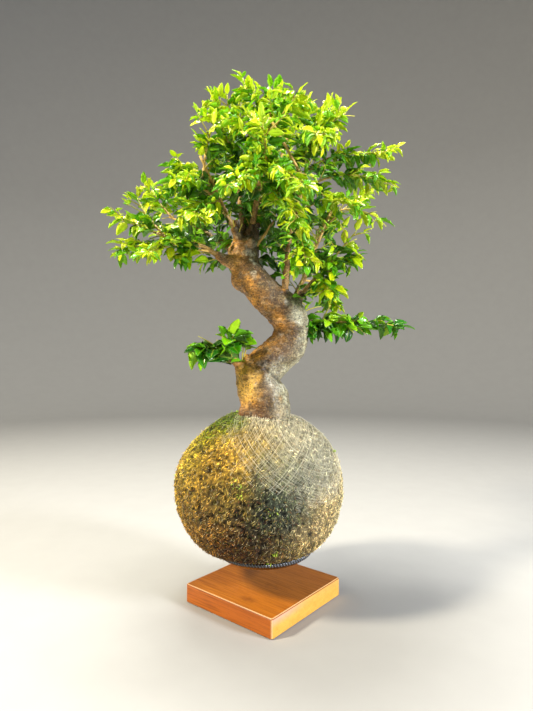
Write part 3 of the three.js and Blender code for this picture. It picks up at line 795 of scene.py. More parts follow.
def trunk_wood(shape):
    """The trunk with its flutes, burrs, cracks, scars and cuts."""
    points, faces, normals = trunk_skin()
    front = normals[:, 1] < 0.2
    angle = np.arctan2(points[:, 1] + 6, points[:, 0])
    around = np.stack([14 * np.cos(angle), 14 * np.sin(angle), points[:, 2] / 5], 1)
    level = points * np.array([0.5, 0.5, 1.6])
    # Flutes, lumps, pebbles, wrinkles and grain: their weight, place, size and seed.
    layers = [(1.2, around, 9, 1), (1.1, points, 11, 2), (0.55, points, 5.5, 14),
              (0.5, level, 3.2, 3), (0.3, points, 1.9, 4)]
    push = sum(weight * noise_at(spots, size, seed) for weight, spots, size, seed in layers)
    groove, dark = np.zeros(len(points)), np.zeros(len(points))
    for start, end, wander, width, depth, crack_shade in CRACKS:
        away = near_line(points, start, end) + noises(points, wander)
        crack = np.exp(-(away / width) ** 2) * front
        groove += depth * crack
        dark += crack_shade * crack
    push -= groove
    knot = np.zeros(len(points))
    for centre, size in SCARS:
        away = np.linalg.norm(points - np.array(centre), axis=1) / size
        push += 0.9 * np.exp(-(away - 1) ** 2 * 5) - 0.8 * np.exp(-away ** 2 * 3)
        knot = np.maximum(knot, np.exp(-away ** 2 * 1.2))
    cut, ragged = stump_cuts(points)
    raised = 3.4 * ragged * cut * (points[:, 2] > RAGGED_ABOVE_Z)
    above = smooth(points[:, 2], 196, 212)
    points = points + normals * (push * above * (1 - 0.7 * cut))[:, None]
    points[:, 2] += raised
    # Painted shade in the fold where the trunk bends.
    inner = smooth(-near_line(points, (-8, 254), (2, 262)), -7, -2) * front
    dark = np.maximum(np.clip(dark, 0, 1), 0.5 * inner)
    shape.add(points, faces, tint=bark_tint(points, normals, dark, knot), young=0,
              cut=cut * (1 - 0.55 * (points[:, 2] > RAGGED_ABOVE_Z)))


class Path:
    """A line of straight stretches, with places on it found by their share of its length.

    These and the arches follow the part's source, so that each leaf is where the CAD has it.
    """

    def __init__(self, points):
        self.points = [Vector(point) for point in points]
        self.steps = [(b - a).length for a, b in zip(self.points, self.points[1:])]
        self.length = sum(self.steps)

    def at(self, share):
        left = min(max(share, 0), 1) * self.length
        for start, end, step in zip(self.points, self.points[1:], self.steps):
            if left <= step:
                return start.lerp(end, left / step)
            left -= step
        return self.points[-1].copy()

    def along(self, share):
        return (self.at(min(share + 1e-4, 1)) - self.at(max(share - 1e-4, 0))).normalized()


def shoot_path(line, share, tip):
    """The corners of the arch of a shoot, from its branch to its tip."""
    root, end = line.at(share), Vector(tip)
    reach = (end - root).length
    heading = ((end - root).normalized() + 0.6 * line.along(share)).normalized()
    crest = root + 0.5 * reach * heading
    crest.z += 0.08 * reach
    return root, crest, end


def arch(corners, share):
    root, crest, end = corners
    return root * (1 - share) ** 2 + crest * 2 * share * (1 - share) + end * share ** 2


def arch_points(corners, steps, start=0, end=1):
    """Evenly spaced places on an arch, from one share of it to another."""
    return [arch(corners, start + (end - start) * k / steps) for k in range(steps + 1)]


def branch_tints(points, girth):
    """Thin twigs are tan and yellow, and thicker limbs brown and grey."""
    thin, thick = linear("d8b05c"), linear("94703a")
    tint = thick + (thin - thick) * (1 - np.clip(girth, 0, 1))[:, None]
    return tint * (1 + 0.35 * noise_at(points, 8, 20)[:, None])


def add_twig(shape, line, radii, sides):
    points, faces = tubes([line], [radii], sides)
    shape.add(points, faces, tint=branch_tints(points, np.zeros(len(points))), cut=0, young=1)


BRANCH_SIDES = 10
TWIG_STEPS = 6


def tree_wood():
    """The trunk, its branches with the brown part of their shoots, and the snags."""
    shape = Shape()
    trunk_wood(shape)
    for number, (name, (thick, fine, line)) in enumerate(BRANCHES.items()):
        path = curve_through(line, 4)
        share = np.linspace(0, 1, len(path))
        knots = 1 + 0.14 * np.sin(np.arange(len(path)) * 1.9 + number) ** 6
        radii = (thick + (fine - thick) * share) * knots
        wander = np.stack([noise_at(path, 14, 30 + 3 * number + k) for k in range(3)], 1)
        path = path + 0.9 * wander * smooth(share, 0, 0.15)[:, None]
        points, faces = tubes([path], [radii], BRANCH_SIDES)
        girth = np.repeat((radii - 1) / 2.6, BRANCH_SIDES)
        shape.add(points, faces, tint=branch_tints(points, girth), cut=0,
                  young=1 - np.clip(girth, 0, 1))
        straight = Path(line)
        nodes = 1 + 0.12 * (np.arange(TWIG_STEPS + 1) % 2)
        for where, tip, _ in SHOOTS[name]:
            twig = arch_points(shoot_path(straight, where, tip), TWIG_STEPS, 0, TWIG_SHARE)
            add_twig(shape, np.array(twig), np.linspace(*TWIG_RADII, TWIG_STEPS + 1) * nodes, 7)
    for number, (root, end) in enumerate(SNAGS):
        line = np.array([Vector(root).lerp(Vector(end), k / 9) for k in range(10)])
        wander = [noise_at(line[:-1], 9, 90 + 3 * number + k) for k in range(3)]
        line[:-1] += 0.7 * np.stack(wander, 1)
        add_twig(shape, line, np.linspace(*SNAG_RADII, 10), 8)
    settle(shape.object("bonsai_wood", [bark_finish]), "tree_wood")


# ---------------------------------------------------------------- the leaves

# A blade's outline: its half widths against the widest at these shares of its length.
STATIONS = np.array([0, 0.09, 0.15, 0.27, 0.42, 0.57, 0.72, 0.85, 0.94, 1])
HALF_WIDTHS = np.array([0.05, 0.05, 0.3, 0.82, 1, 0.96, 0.79, 0.54, 0.3, 0.05])
COLUMNS = np.array([-1, -0.5, 0, 0.5, 1])
BLADE_THICKNESS = 0.44
SIDE_BEND = 0.10
RIPPLES = 2.3


def leaf_faces():
    """The faces of one closed blade: its upper side, its under side and its two ends."""
    rows, columns = len(STATIONS), len(COLUMNS)
    top = np.arange(rows * columns).reshape(rows, columns)
    under = top.copy()
    under[:, 1:-1] = rows * columns + np.arange(rows * (columns - 2)).reshape(rows, -1)

    def sheet(grid):
        return np.stack([grid[:-1, :-1], grid[1:, :-1], grid[1:, 1:], grid[:-1, 1:]], -1)
    quads = [sheet(top).reshape(-1, 4), sheet(under).reshape(-1, 4)[:, ::-1]]
    triangles = []
    for row, order in ((0, 1), (rows - 1, -1)):
        a, b = top[row], under[row]
        quads += [np.array([[a[k], a[k + 1], b[k + 1], b[k]][::order]]) for k in (1, 2)]
        triangles += [[a[0], a[1], b[1]][::order], [a[3], a[4], b[3]][::order]]
    return np.concatenate(quads), np.array(triangles)


LEAF_QUADS, LEAF_TRIANGLES = leaf_faces()


def add_blades(shape, leaves):
    """Leaves as closed, folded and arched blades. Each leaf is a dict of vectors and numbers."""
    def column(key):
        return np.array([leaf[key] for leaf in leaves], float)[:, None, None]
    root, along, up = column("root"), column("along"), column("up")
    length, fold, phase = column("length"), column("fold"), column("phase")
    t, v = STATIONS[None, :, None], COLUMNS[None, None, :]
    widths = HALF_WIDTHS[None, :, None]
    half = 0.5 * column("width") * length * widths
    across = v * half * np.cos(fold) + SIDE_BEND * np.sin(phase) * length * t ** 2
    height = -column("arch") * length * t ** 2 + np.abs(v) * half * np.sin(fold)
    ripple = np.sin(2 * math.pi * RIPPLES * t + phase + 2.2 * v)
    height = height + column("wave") * length * ripple * v ** 2 * widths
    middle = root + (t * length)[..., None] * along + across[..., None] * np.cross(up, along)
    thickness = 0.5 * BLADE_THICKNESS * (1 - v ** 2)
    edge_to_edge, between = slice(0, 5), slice(1, 4)
    upper = (middle + (height + thickness)[..., None] * up)[:, :, edge_to_edge]
    under = (middle + (height - thickness)[..., None] * up)[:, :, between]
    points = np.concatenate([side.reshape(len(leaves), -1, 3) for side in (upper, under)], 1)
    count = points.shape[1]
    offset = (np.arange(len(leaves)) * count)[:, None, None]
    faces = [(group[None] + offset).reshape(-1, group.shape[1])
             for group in (LEAF_QUADS, LEAF_TRIANGLES)]

    def at_each(top, below):
        """Values by row and column, for the points of the upper and of the under side."""
        rows = np.broadcast_to(top, (len(STATIONS), 5)), np.broadcast_to(below, (len(STATIONS), 3))
        return np.tile(np.concatenate([row.ravel() for row in rows]), len(leaves))
    shares = STATIONS[:, None]
    shape.add(points.reshape(-1, 3), faces, tone=np.repeat(column("tone").ravel(), count),
              along=at_each(shares, shares), beside=at_each(COLUMNS, COLUMNS[between]),
              under=at_each([0.5, 0, 0, 0, 0.5], 1))


def across_from(tangent):
    """The directions to one side of a stem and over it."""
    side = tangent.cross(SKY)
    side = side.normalized() if side.length >= 0.2 else Vector((1, 0, 0))
    return side, side.cross(tangent)


def leaf_pose(root, tangent, azimuth, size, values):
    """How a leaf sits: out to one side of its stem, forward along it and a little down."""
    forward, growth, roll, droop = values
    side, over = across_from(tangent)
    along = (side * math.cos(azimuth) + over * 0.6 * math.sin(azimuth)
             + tangent * (0.45 + 0.4 * forward) - 0.22 * SKY).normalized()
    up = (SKY - along * along.z).normalized()
    up = Quaternion(along, 1.1 * (roll - 0.5)) @ up
    return {"root": root, "along": along, "up": up, "arch": 0.1 + 0.22 * droop,
            "length": LEAF_LENGTH * size * (0.82 + 0.36 * growth)}


def leaf_places(pairs, draw):
    """The places of a shoot's leaves in the part's source."""
    for pair in range(pairs):
        azimuth = 1.2 * pair + 0.5 * (draw() - 0.5)
        for turn in (0, math.pi):
            values = [draw() for _ in range(4)]
            yield (pair + 0.25) / pairs, azimuth + turn, 1.08 - 0.3 * pair / pairs, values
    yield 0.985, math.pi / 2, 0.8, [1] + [draw() for _ in range(3)]


def leaf_tip(pose):
    return pose["root"] + pose["length"] * (pose["along"] - pose["arch"] * pose["up"])


def inside(point, room, margin=3.0):
    return all(low - margin < value < high + margin
               for value, low, high in zip(point, *room))


def same_leaves(node, stem, pairs, seed):
    """The leaves that the node has, each found by where its tip is."""
    corners = np.array([vertex.co for vertex in node.data.vertices]) / MM
    for share, azimuth, size, values in leaf_places(pairs, random_from(seed)):
        for turn in (0, 0.5, -0.5, 1, -1):  # as the part's source tries them
            pose = leaf_pose(stem.at(share), stem.along(share), azimuth + turn, size, values)
            if np.linalg.norm(corners - np.array(leaf_tip(pose)), axis=1).min() < 0.5:
                yield share, pose
                break


trunk_line = curve_through(TRUNK, 6)


def in_trunk(point):
    away = np.linalg.norm(trunk_line[:, :3] - np.array(point), axis=1) - trunk_line[:, 3]
    return away.min() < 0.5


# No leaf hangs before the sawn and broken stumps on the trunk's top, nor before some twigs. Seen
# from the front, as from the camera, the stumps fill this window.
EYE = Vector(camera.location) / MM
STUMP_WINDOW = ((-36, 389), (1, 420))
STUMP_FRONT_Y = -9
SHOWN_TWIGS = [*SNAGS, ((22, -13, 332), (25, -20, 370)), ((25, -20, 370), (31, -19, 408)),
               ((31, -19, 408), (39, -16, 438)), ((-36, -10, 368), (-58, -20, 379))]
TWIG_MARGIN = 2.2

# Open air between the crown's layers, seen from the front: its middle, and its half width and
# half height.
AIR = [
    ((-153, 406), (10, 9)), ((-123, 398), (13, 8)), ((-138, 430), (12, 7)), ((-105, 416), (10, 6)),
    ((-104, 380), (11, 6)), ((-73, 378), (9, 5)), ((-59, 511), (9, 7)), ((-61, 521), (10, 4)),
    ((-43, 546), (7, 7)), ((9, 515), (4, 4)), ((91, 527), (9, 7)), ((89, 429), (9, 6)),
    ((118, 425), (12, 9)), ((133, 406), (9, 8)), ((91, 397), (15, 8)), ((58, 396), (8, 13)),
    ((42, 349), (7, 6)), ((30, 336), (6, 6)), ((64, 332), (7, 6)), ((107, 286), (14, 6)),
    ((-76, 280), (10, 3.5)), ((-55, 284), (7, 6)), ((-36, 301), (7, 5)),
]


def seen(point):
    """Where a point shows from the front, moved onto the plane through the trunk's foot."""
    nearer = EYE.y / (EYE.y - point.y)
    return Vector((EYE.x + (point.x - EYE.x) * nearer, EYE.z + (point.z - EYE.z) * nearer))


SEEN_TWIGS = [(seen(Vector(low)), seen(Vector(high)), low[1], high[1])
              for low, high in SHOWN_TWIGS]


def hides_something(pose):
    """Whether a leaf hangs before the stumps or a shown twig, or where the crown is open."""
    for share in (0.15, 0.5, 0.85):
        reach = share * pose["length"]
        point = pose["root"] + reach * (pose["along"] - share * pose["arch"] * pose["up"])
        spot = seen(point)
        if any(((spot.x - x) / wide) ** 2 + ((spot.y - z) / high) ** 2 < 1
               for (x, z), (wide, high) in AIR):
            return True
        if point.y < STUMP_FRONT_Y and inside(spot, STUMP_WINDOW, 0):
            return True
        for low, high, low_depth, high_depth in SEEN_TWIGS:
            along = high - low
            t = min(max((spot - low).dot(along) / along.length_squared, 0), 1)
            depth = low_depth + (high_depth - low_depth) * t
            if point.y < depth and (spot - low - t * along).length < TWIG_MARGIN:
                return True
    return False


LARGE_LEAVES = (0.11, 1.4)  # how many of the small leaves have grown large, and how much larger


def loosened(pose, draw):
    """The leaf turned a little more, since the small ones hang less evenly than the large ones."""
    pitch = Quaternion(pose["up"].cross(pose["along"]), 0.6 * draw() - 0.36)
    roll = Quaternion(pose["along"], 1.9 * (draw() - 0.5))
    pose["up"] = roll @ pitch @ pose["up"]
    pose["along"] = pitch @ pose["along"]
    pose["arch"] += 0.2 * draw()
    share, larger = LARGE_LEAVES
    if draw() > 1 - share:
        pose["length"] *= larger
    return pose


CROWN_CENTRE = np.array([0, 0, 425])
CROWN_REACH = np.array([170, 122, 165])


def finished(pose, youth, draw):
    """A leaf with its fold, waves, width and tone, which goes from 0, bright, to 1, dark.

    Leaves are brighter on young wood, which is their own colour, and brighter towards the crown's
    outside, its top and its sides and darker deep inside it, which is painted light and shade. The
    low ones are broad and dark.
    """
    middle = np.array(pose["root"] + 0.5 * pose["length"] * pose["along"])
    outward = np.linalg.norm((middle - CROWN_CENTRE) / CROWN_REACH)
    high, low = smooth(middle[2], 400, 530), smooth(middle[2], 330, 300)
    # The outside, top and side terms are painted light and shade; the youth term is the leaves'
    # own colour.
    tone = 0.86 - 0.5 * smooth(outward, 0.35, 0.95) - 0.26 * high - 0.18 * youth + 0.48 * low
    tone -= 0.07 * smooth(abs(middle[0]), 20, 90)
    tone += (0.9 + 0.2 * high) * (draw() - 0.5)
    pose.update(fold=0.15 + 0.6 * draw(), wave=0.022 + 0.05 * draw(), phase=6.28 * draw(),
                tone=min(max(tone, 0.02), 0.98), width=0.4 + 0.2 * draw() + 0.3 * low)
    return pose


def add_stem(shape, corners, start, steps, radii, sides, tones):
    """A green stem along an arch, from a share of it to its end."""
    points, faces = tubes([arch_points(corners, steps, start)],
                          [np.linspace(*radii, steps + 1)], sides)
    shape.add(points, faces, slot=1, tone=np.repeat(np.linspace(*tones, steps + 1), sides))


PAIR_STEP = 6  # between the pairs of leaves of a side shoot
SPRIG_STEP = 7.5  # between the side shoots of a shoot
SPUR_STEP = 6.5  # between the leafy spurs of a branch
SPRIG_TIP_RADIUS = 0.4


def sprig_bow(root, tangent, azimuth, reach, lift=0.2):
    """The corners of the arch of a short side shoot."""
    side, over = across_from(tangent)
    heading = (side * math.cos(azimuth) + over * 0.7 * math.sin(azimuth) + tangent * 0.75
               + SKY * lift).normalized()
    return root, root + 0.5 * reach * heading, root + reach * heading - 0.1 * reach * SKY


def sprig(shape, bow, thickness, youth, draw, leaf, size=0.62):
    """A short side shoot with pairs of leaves along it and one at its tip."""
    twig = Path(arch_points(bow, 8))
    add_stem(shape, bow, 0, 6, (thickness, SPRIG_TIP_RADIUS), 5, (0.6, 0.1))
    pairs = max(1, round(twig.length / PAIR_STEP))
    for pair in range(pairs):
        place = (pair + 0.55) / pairs
        azimuth = 0.9 * pair + 1.2 * (draw() - 0.5)
        for turn in (0, math.pi):
            grown = size * (1.15 - 0.4 * place) * (0.75 + 0.5 * draw())
            leaf(twig.at(place), twig.along(place), azimuth + turn, grown, youth + 0.3 * place)
    leaf(twig.at(1), twig.along(1), math.pi / 2, 0.8 * size, min(youth + 0.4, 1))


def hull_of(branches):
    """The sides of the smallest convex form around the shoots of some branches."""
    cloud = bmesh.new()
    for branch in branches:
        for point in BRANCHES[branch][2]:
            cloud.verts.new(point)
        for number in range(1, len(SHOOTS[branch]) + 1):
            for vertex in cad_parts[f"shoot_{branch}_{number}"].data.vertices:
                cloud.verts.new(vertex.co / MM)
    made = bmesh.ops.convex_hull(cloud, input=cloud.verts[:])
    sides = [(np.array(face.normal), np.array(face.verts[0].co)) for face in made["geom"]
             if isinstance(face, bmesh.types.BMFace)]
    middle = np.mean([vertex.co for vertex in cloud.verts], axis=0)
    cloud.free()
    normals = np.array([normal if normal @ (corner - middle) > 0 else -normal
                        for normal, corner in sides])
    return normals, np.array([normal @ corner for normal, (_, corner) in zip(normals, sides)])


# The parts of the crown: how far inside its hull the leaves of each stay, how large they are
# against the rest, and its branches.
APART = ("right_low", "stump_side")
CROWN_PARTS = [(5, 1, [name for name in BRANCHES if name not in APART]),
               (-11, 1.05, ["right_low"]), (-6, 1.3, ["stump_side"])]

# The share of each branch that is bare, from its root.
BARE_BELOW = {"left_low": 0.25, "left_back": 0.2, "left_up": 0.15, "top_left": 0.1,
              "top_mid": 0.08, "top_back": 0.1, "front_up": 0.1, "right_tall": 0.3,
              "right_mid": 0.15, "right_low": 0.05, "right_back": 0.15, "stump_side": 0.3}

# Sprouts from the trunk and the main limbs, from the bark to the tip, for each of those parts.
SPROUTS = [
    [((-12, 2, 386), (18, 8, 386)), ((-10, 2, 374), (22, 12, 370)),
     ((2, 0, 352), (26, 14, 362)), ((38, 4, 312), (64, 10, 322)),
     ((-42, -14, 371), (-66, -22, 364)), ((-36, -8, 369), (-52, 10, 366)),
     ((30, -18, 388), (44, -40, 380)), ((-28, 12, 455), (-44, -4, 476)),
     ((-29, 12, 470), (-12, 4, 486)), ((-14, 4, 394), (14, 16, 406)),
     ((-12, 18, 404), (12, 34, 396)), ((-26, 6, 394), (-50, 20, 398)),
     ((-25, 8, 410), (-48, 16, 416)), ((-6, -10, 436), (20, -14, 430)),
     ((-10, -6, 420), (12, -4, 414)), ((28, -19, 400), (6, -20, 420)),
     ((36, 12, 330), (52, 14, 318)), ((26, 4, 322), (10, 24, 338))],
    [((42, 4, 302), (60, -4, 296)), ((44, 4, 302), (62, 16, 318)),
     ((64, 10, 304), (74, 2, 322)), ((84, 14, 305), (100, 6, 292)),
     ((96, 16, 305), (116, 16, 290))],
    [((-24, -14, 256), (-20, -28, 285)), ((-36, -20, 266), (-68, -31, 287)),
     ((-23, -13, 257), (-15, -26, 286))],
]
SPROUT_RISE = 3

# Leafy spurs on branches and on twigs: how far they reach, how much they rise and how thick they
# are, and how large the leaves of spurs and sprouts are.
BRANCH_SPURS = dict(reach=22, lift=0.25, thickness=0.8)
TWIG_SPURS = dict(reach=16, lift=0.1, thickness=0.7)
SPUR_LEAF, SPROUT_LEAF = 0.68, 0.76
SPUR_SEED, SHOOT_SEED = 77, 1000


def inner_leaves():
    """Short leafy spurs along the branches and twigs, which fill the crown from within."""
    draw = random_from(SPUR_SEED)
    stems, leaves = Shape(), []

    def leaf_within(normals, heights, margin, scale):
        def leaf(root, tangent, azimuth, size, youth):
            pose = leaf_pose(root, tangent, azimuth, size * scale, [draw() for _ in range(4)])
            pose = loosened(pose, draw)
            tip = np.array(leaf_tip(pose))
            free = (normals @ tip - heights).max() < -margin and not in_trunk(tip)
            if free and not hides_something(pose):
                leaves.append(finished(pose, youth, draw))
        return leaf

    def spurs(line, first, last, leaf, step, reach, lift, thickness):
        place = first
        while place < last:
            azimuth = 2 * math.pi * draw()
            long = reach * (0.5 + 0.8 * draw())
            bow = sprig_bow(line.at(place), line.along(place), azimuth, long, lift)
            if not in_trunk(bow[2]):
                sprig(stems, bow, thickness, -0.25, draw, leaf, SPUR_LEAF)
            place += step * (0.7 + 0.6 * draw()) / line.length

    for (margin, scale, branches), sprouts in zip(CROWN_PARTS, SPROUTS):
        leaf = leaf_within(*hull_of(branches), margin, scale)
        step = SPUR_STEP * scale ** 2
        for branch in branches:
            line = Path(BRANCHES[branch][2])
            spurs(line, BARE_BELOW[branch], 1, leaf, step, **BRANCH_SPURS)
            for share, tip, _ in SHOOTS[branch]:
                twig = Path(arch_points(shoot_path(line, share, tip), 8, 0, TWIG_SHARE))
                spurs(twig, 0.1, 0.95, leaf, step, **TWIG_SPURS)
        for root, end in sprouts:
            crest = Vector(root).lerp(Vector(end), 0.5) + SPROUT_RISE * SKY
            sprout = Vector(root), crest, Vector(end)
            sprig(stems, sprout, 0.9, -0.1, draw, leaf, SPROUT_LEAF)
    # In two pieces, since one mesh would have too many faces.
    left = [pose for pose in leaves if pose["root"].x < 0]
    right = [pose for pose in leaves if pose["root"].x >= 0]
    for side, shape, half in (("left", stems, left), ("right", Shape(), right)):
        add_blades(shape, half)
        settle(shape.object(f"inner_leaves_{side}", [leaf_finish, stem_finish]))


# Shoots with other side shoots than the rest: how many of them, and how large their leaves are.
ODD_SHOOTS = {"shoot_stump_side_1": (0.4, 1.4), "shoot_stump_side_2": (0.4, 1.4),
              "shoot_right_low_1": (0.4, 1), "shoot_right_mid_1": (0.7, 1),
              "shoot_right_mid_3": (0.7, 1), "shoot_right_back_1": (0.7, 1),
              "shoot_right_back_2": (0.8, 1), "shoot_right_tall_4": (0.7, 1),
              "shoot_left_low_2": (0.8, 1), "shoot_left_back_2": (0.7, 1)}
SHRUNK = 0.9  # the finer leaves in the places of the CAD's are a little smaller


def leafy_shoot(name, index, line, share, tip, pairs):
    """A node's shoot: its own leaves, with more pairs and leafy side shoots between them."""
    fullness, leaf_size = ODD_SHOOTS.get(name, (1, 1))
    corners = shoot_path(line, share, tip)
    start = TWIG_SHARE + GAP / Path(arch_points(corners, 200)).length
    stem = Path(arch_points(corners, pairs, start))
    draw = random_from(SHOOT_SEED + 7 * index)
    room = [Vector(corner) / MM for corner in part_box(name)]
    shape, leaves = Shape(), []
    for place, pose in same_leaves(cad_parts[name], stem, pairs, FIRST_SEED + index):
        pose["length"] *= SHRUNK * leaf_size ** 0.5
        leaves.append(finished(pose, place, draw))

    def leaf(root, tangent, azimuth, size, youth):
        values = [draw() for _ in range(4)]
        for turn, scale in ((0, 1), (0.6, 0.9), (-0.6, 0.9), (1.2, 0.75), (-1.2, 0.75)):
            grown = size * scale * leaf_size
            pose = loosened(leaf_pose(root, tangent, azimuth + turn, grown, values), draw)
            free = inside(leaf_tip(pose), room) and not in_trunk(leaf_tip(pose))
            if free and not hides_something(pose):
                leaves.append(finished(pose, youth, draw))
                return

    add_stem(shape, corners, start, 12, STEM_RADII, 6, (0.75, 0.1))
    extra = round(fullness * stem.length / (1.3 * PAIR_STEP))
    for pair in range(extra):
        place = (pair + 0.6) / extra
        size = (0.82 - 0.28 * place) * (0.8 + 0.4 * draw())
        azimuth = 1.2 * pair + 0.6 + 0.8 * (draw() - 0.5)
        for turn in (0, math.pi):
            leaf(stem.at(place), stem.along(place), azimuth + turn, size, place)
    sprigs = round(fullness * stem.length / SPRIG_STEP)
    for number in range(sprigs):
        place = (number + 0.2 + 0.4 * draw()) / sprigs
        azimuth = math.pi * number + 0.9 * (draw() - 0.5)
        for reach in (16 + 18 * draw(), 15, 9):
            bow = sprig_bow(stem.at(place), stem.along(place), azimuth, reach)
            if inside(bow[2], room, 0):
                sprig(shape, bow, 0.7, place, draw, leaf)
                break
    add_blades(shape, leaves)
    settle(shape.object("leafy_" + name, [leaf_finish, stem_finish]), name)


def crown():
    """The leafy shoot of each node, and the leaves between them."""
    index = 0
    for branch, rows in SHOOTS.items():
        line = Path(BRANCHES[branch][2])
        for number, (share, tip, pairs) in enumerate(rows, 1):
            leafy_shoot(f"shoot_{branch}_{number}", index, line, share, tip, pairs)
            index += 1
    inner_leaves()


# ---------------------------------------------------------------- the moss ball

RADIUS, HALF_HEIGHT = BALL["radius"], BALL["half_height"]
CENTRE = np.array(BALL["centre"], float)
FLOOR = BALL_FLOOR_Z - CENTRE[2]
BODY = np.array([RADIUS, RADIUS, HALF_HEIGHT])
EDGE_LIFT = 5  # the moss curls up at the edge of its flat underside, so that the dish shows
EDGE_RADII = (44, 62)

# Patches of colour: a direction from the ball's centre, how tight the patch is, and its colour.
MOSS_PATCHES = [
    ((-0.86, -0.42, 0.28), 8, "d2b244"),
    ((-0.45, -0.80, 0.42), 10, "eebd43"),
    ((-0.05, -0.80, 0.60), 14, "c4a444"),
    ((-0.42, -0.30, 0.92), 18, "5c7a10"),
    ((-0.70, -0.45, 0.66), 16, "a6a61e"),
    ((0.36, -0.55, 0.80), 8, "cfc6a4"),
    ((0.72, -0.62, 0.40), 8, "bcbaa0"),
    ((0.95, -0.30, -0.05), 7, "ccbc8c"),
    ((0.25, -0.85, 0.46), 22, "8a8e68"),
    ((0.30, -0.95, 0.18), 15, "606a54"),
    ((0.10, -0.97, 0.20), 30, "44503c"),
    ((0.05, -0.97, 0.00), 30, "343c2e"),
    ((0.22, -0.97, -0.10), 16, "46584a"),
    ((0.02, -0.97, -0.30), 16, "594624"),
    ((-0.62, -0.78, -0.02), 12, "ae8c44"),
    ((-0.45, -0.87, 0.17), 34, "5e5a34"),
    ((-0.24, -0.95, 0.08), 18, "8c7c3c"),
    ((-0.75, -0.62, -0.25), 10, "a67c25"),
    ((-0.40, -0.78, -0.48), 12, "885420"),
    ((-0.05, -0.78, -0.62), 12, "5e3d17"),
    ((0.36, -0.70, -0.62), 11, "85713a"),
    ((0.68, -0.68, -0.28), 10, "e8cc8e"),
    ((-0.90, 0.35, -0.10), 6, "b8943a"),
    ((0.75, 0.65, 0.20), 6, "c2b88c"),
    ((0.10, 0.95, 0.35), 6, "96903e"),
    ((-0.20, 0.95, -0.10), 9, "46563a"),
    ((-0.30, 0.85, -0.55), 8, "4c3d18"),
]
PATCH_WARP = 0.17  # how far the patches' edges wander
NETTED_SIDE = (0.5, -0.45, 0.74)  # the middle of the side where the thread shows
FLAT_SIDE = (0.72, -0.64, -0.28)  # the middle of another side where the moss lies flat
# The dark spots are painted shade of small deep gaps in the moss.
DARK_SPOTS = {"count": 90, "seed": 21, "sizes": (2.6, 5)}


def pits_at(spots):
    """How deep in one of the moss's small dark hollows places lie, from 0 to 1."""
    return smooth(noise_at(spots, 4.2, 42) + 0.5 * noise_at(spots, 1.8, 43), 0.1, 0.55)


def netted(facing):
    """Where the thread shows, from 0 to 1: the moss has grown over it elsewhere."""
    sunny = facing @ unit(np.array(NETTED_SIDE))
    return smooth(sunny + 0.12 * noise_at(facing * 90, 22, 44), 0.45, 0.88)


def even(facing):
    """Where the moss lies flat, from 0 to 1: under the thread and low on the right."""
    low = smooth(facing @ unit(np.array(FLAT_SIDE)), 0.78, 0.97)
    return np.maximum(netted(facing), 0.7 * low)


def edge_lift(spots):
    return EDGE_LIFT * smooth(np.hypot(spots[:, 0], spots[:, 1]), *EDGE_RADII)


def on_ball(directions):
    """Places on the ball, in mm from its centre, for directions from it."""
    spots = unit(np.asarray(directions, float)) * BODY
    spots[:, 2] = np.maximum(spots[:, 2], FLOOR + edge_lift(spots))
    x, y, z = spots.T
    # The lumps are those of the part's source, and the relief is finer.
    waves = np.sin(x / 17 + z / 29) + np.sin(y / 15 - z / 23) + np.sin((x - y) / 31)
    fade = smooth(z, -0.75 * HALF_HEIGHT, -0.3 * HALF_HEIGHT)
    swell = 1 + BALL["lump"] * waves * fade / RADIUS
    rough = 1 - 0.75 * even(unit(spots / BODY))
    relief = 0.9 * noise_at(spots, 9, 40) + rough * (0.8 * noise_at(spots, 3.6, 41)
                                                     - 2.0 * pits_at(spots))
    relief *= 0.15 + 0.85 * smooth(z, FLOOR + 0.5, FLOOR + 14)
    return spots * (swell + relief / RADIUS)[:, None]


def dark_spots(facing):
    """How near places lie to one of the dark spots strewn over the moss, from 0 to 1. The spots
    are painted shade of small deep gaps.
    """
    rng = np.random.default_rng(DARK_SPOTS["seed"])
    ways = unit(rng.normal(size=(DARK_SPOTS["count"], 3)))
    nearness = np.zeros(len(facing))
    for way, size in zip(ways, rng.uniform(*DARK_SPOTS["sizes"], len(ways))):
        away = RADIUS * np.linalg.norm(facing - way, axis=1)
        nearness = np.maximum(nearness, smooth(away, size, 0.4 * size))
    return nearness


def moss_tint(spots):
    """The colour of the moss at places in mm from the ball's centre, with painted shade in its
    small deep gaps.
    """
    facing = unit(spots / BODY)
    # Painted shade in the moss's small deep gaps, less where the thread lies over them.
    shade = 1 - 0.9 * dark_spots(facing) * (1 - 0.8 * netted(facing))
    warp = np.stack([noises(spots, (1, 26, 50 + k), (0.7, 9, 60 + k)) for k in range(3)], 1)
    facing = unit(facing + PATCH_WARP * warp)
    weights = np.stack([np.exp(2.0 * tight * (facing @ unit(np.array(way)) - 1))
                        for way, tight, _ in MOSS_PATCHES], 1)
    colours = np.array([linear(code) for _, _, code in MOSS_PATCHES])
    tint = weights @ colours / weights.sum(1, keepdims=True)
    clumps = 1.3 * noises(spots, (0.7, 5.5, 70), (1, 2.2, 72)) * (1 - 0.5 * even(facing))
    return 1.24 * tint * np.exp(clumps)[:, None].clip(0.12, 2.8) * shade[:, None]


def oval(size, floor, rings):
    """The side of the ball, or of its hollow, from its flat floor to its top."""
    angles = np.linspace(math.asin(floor / size[2]), math.pi / 2, rings)
    return [(size[0] * math.cos(a), size[2] * math.sin(a)) for a in angles]


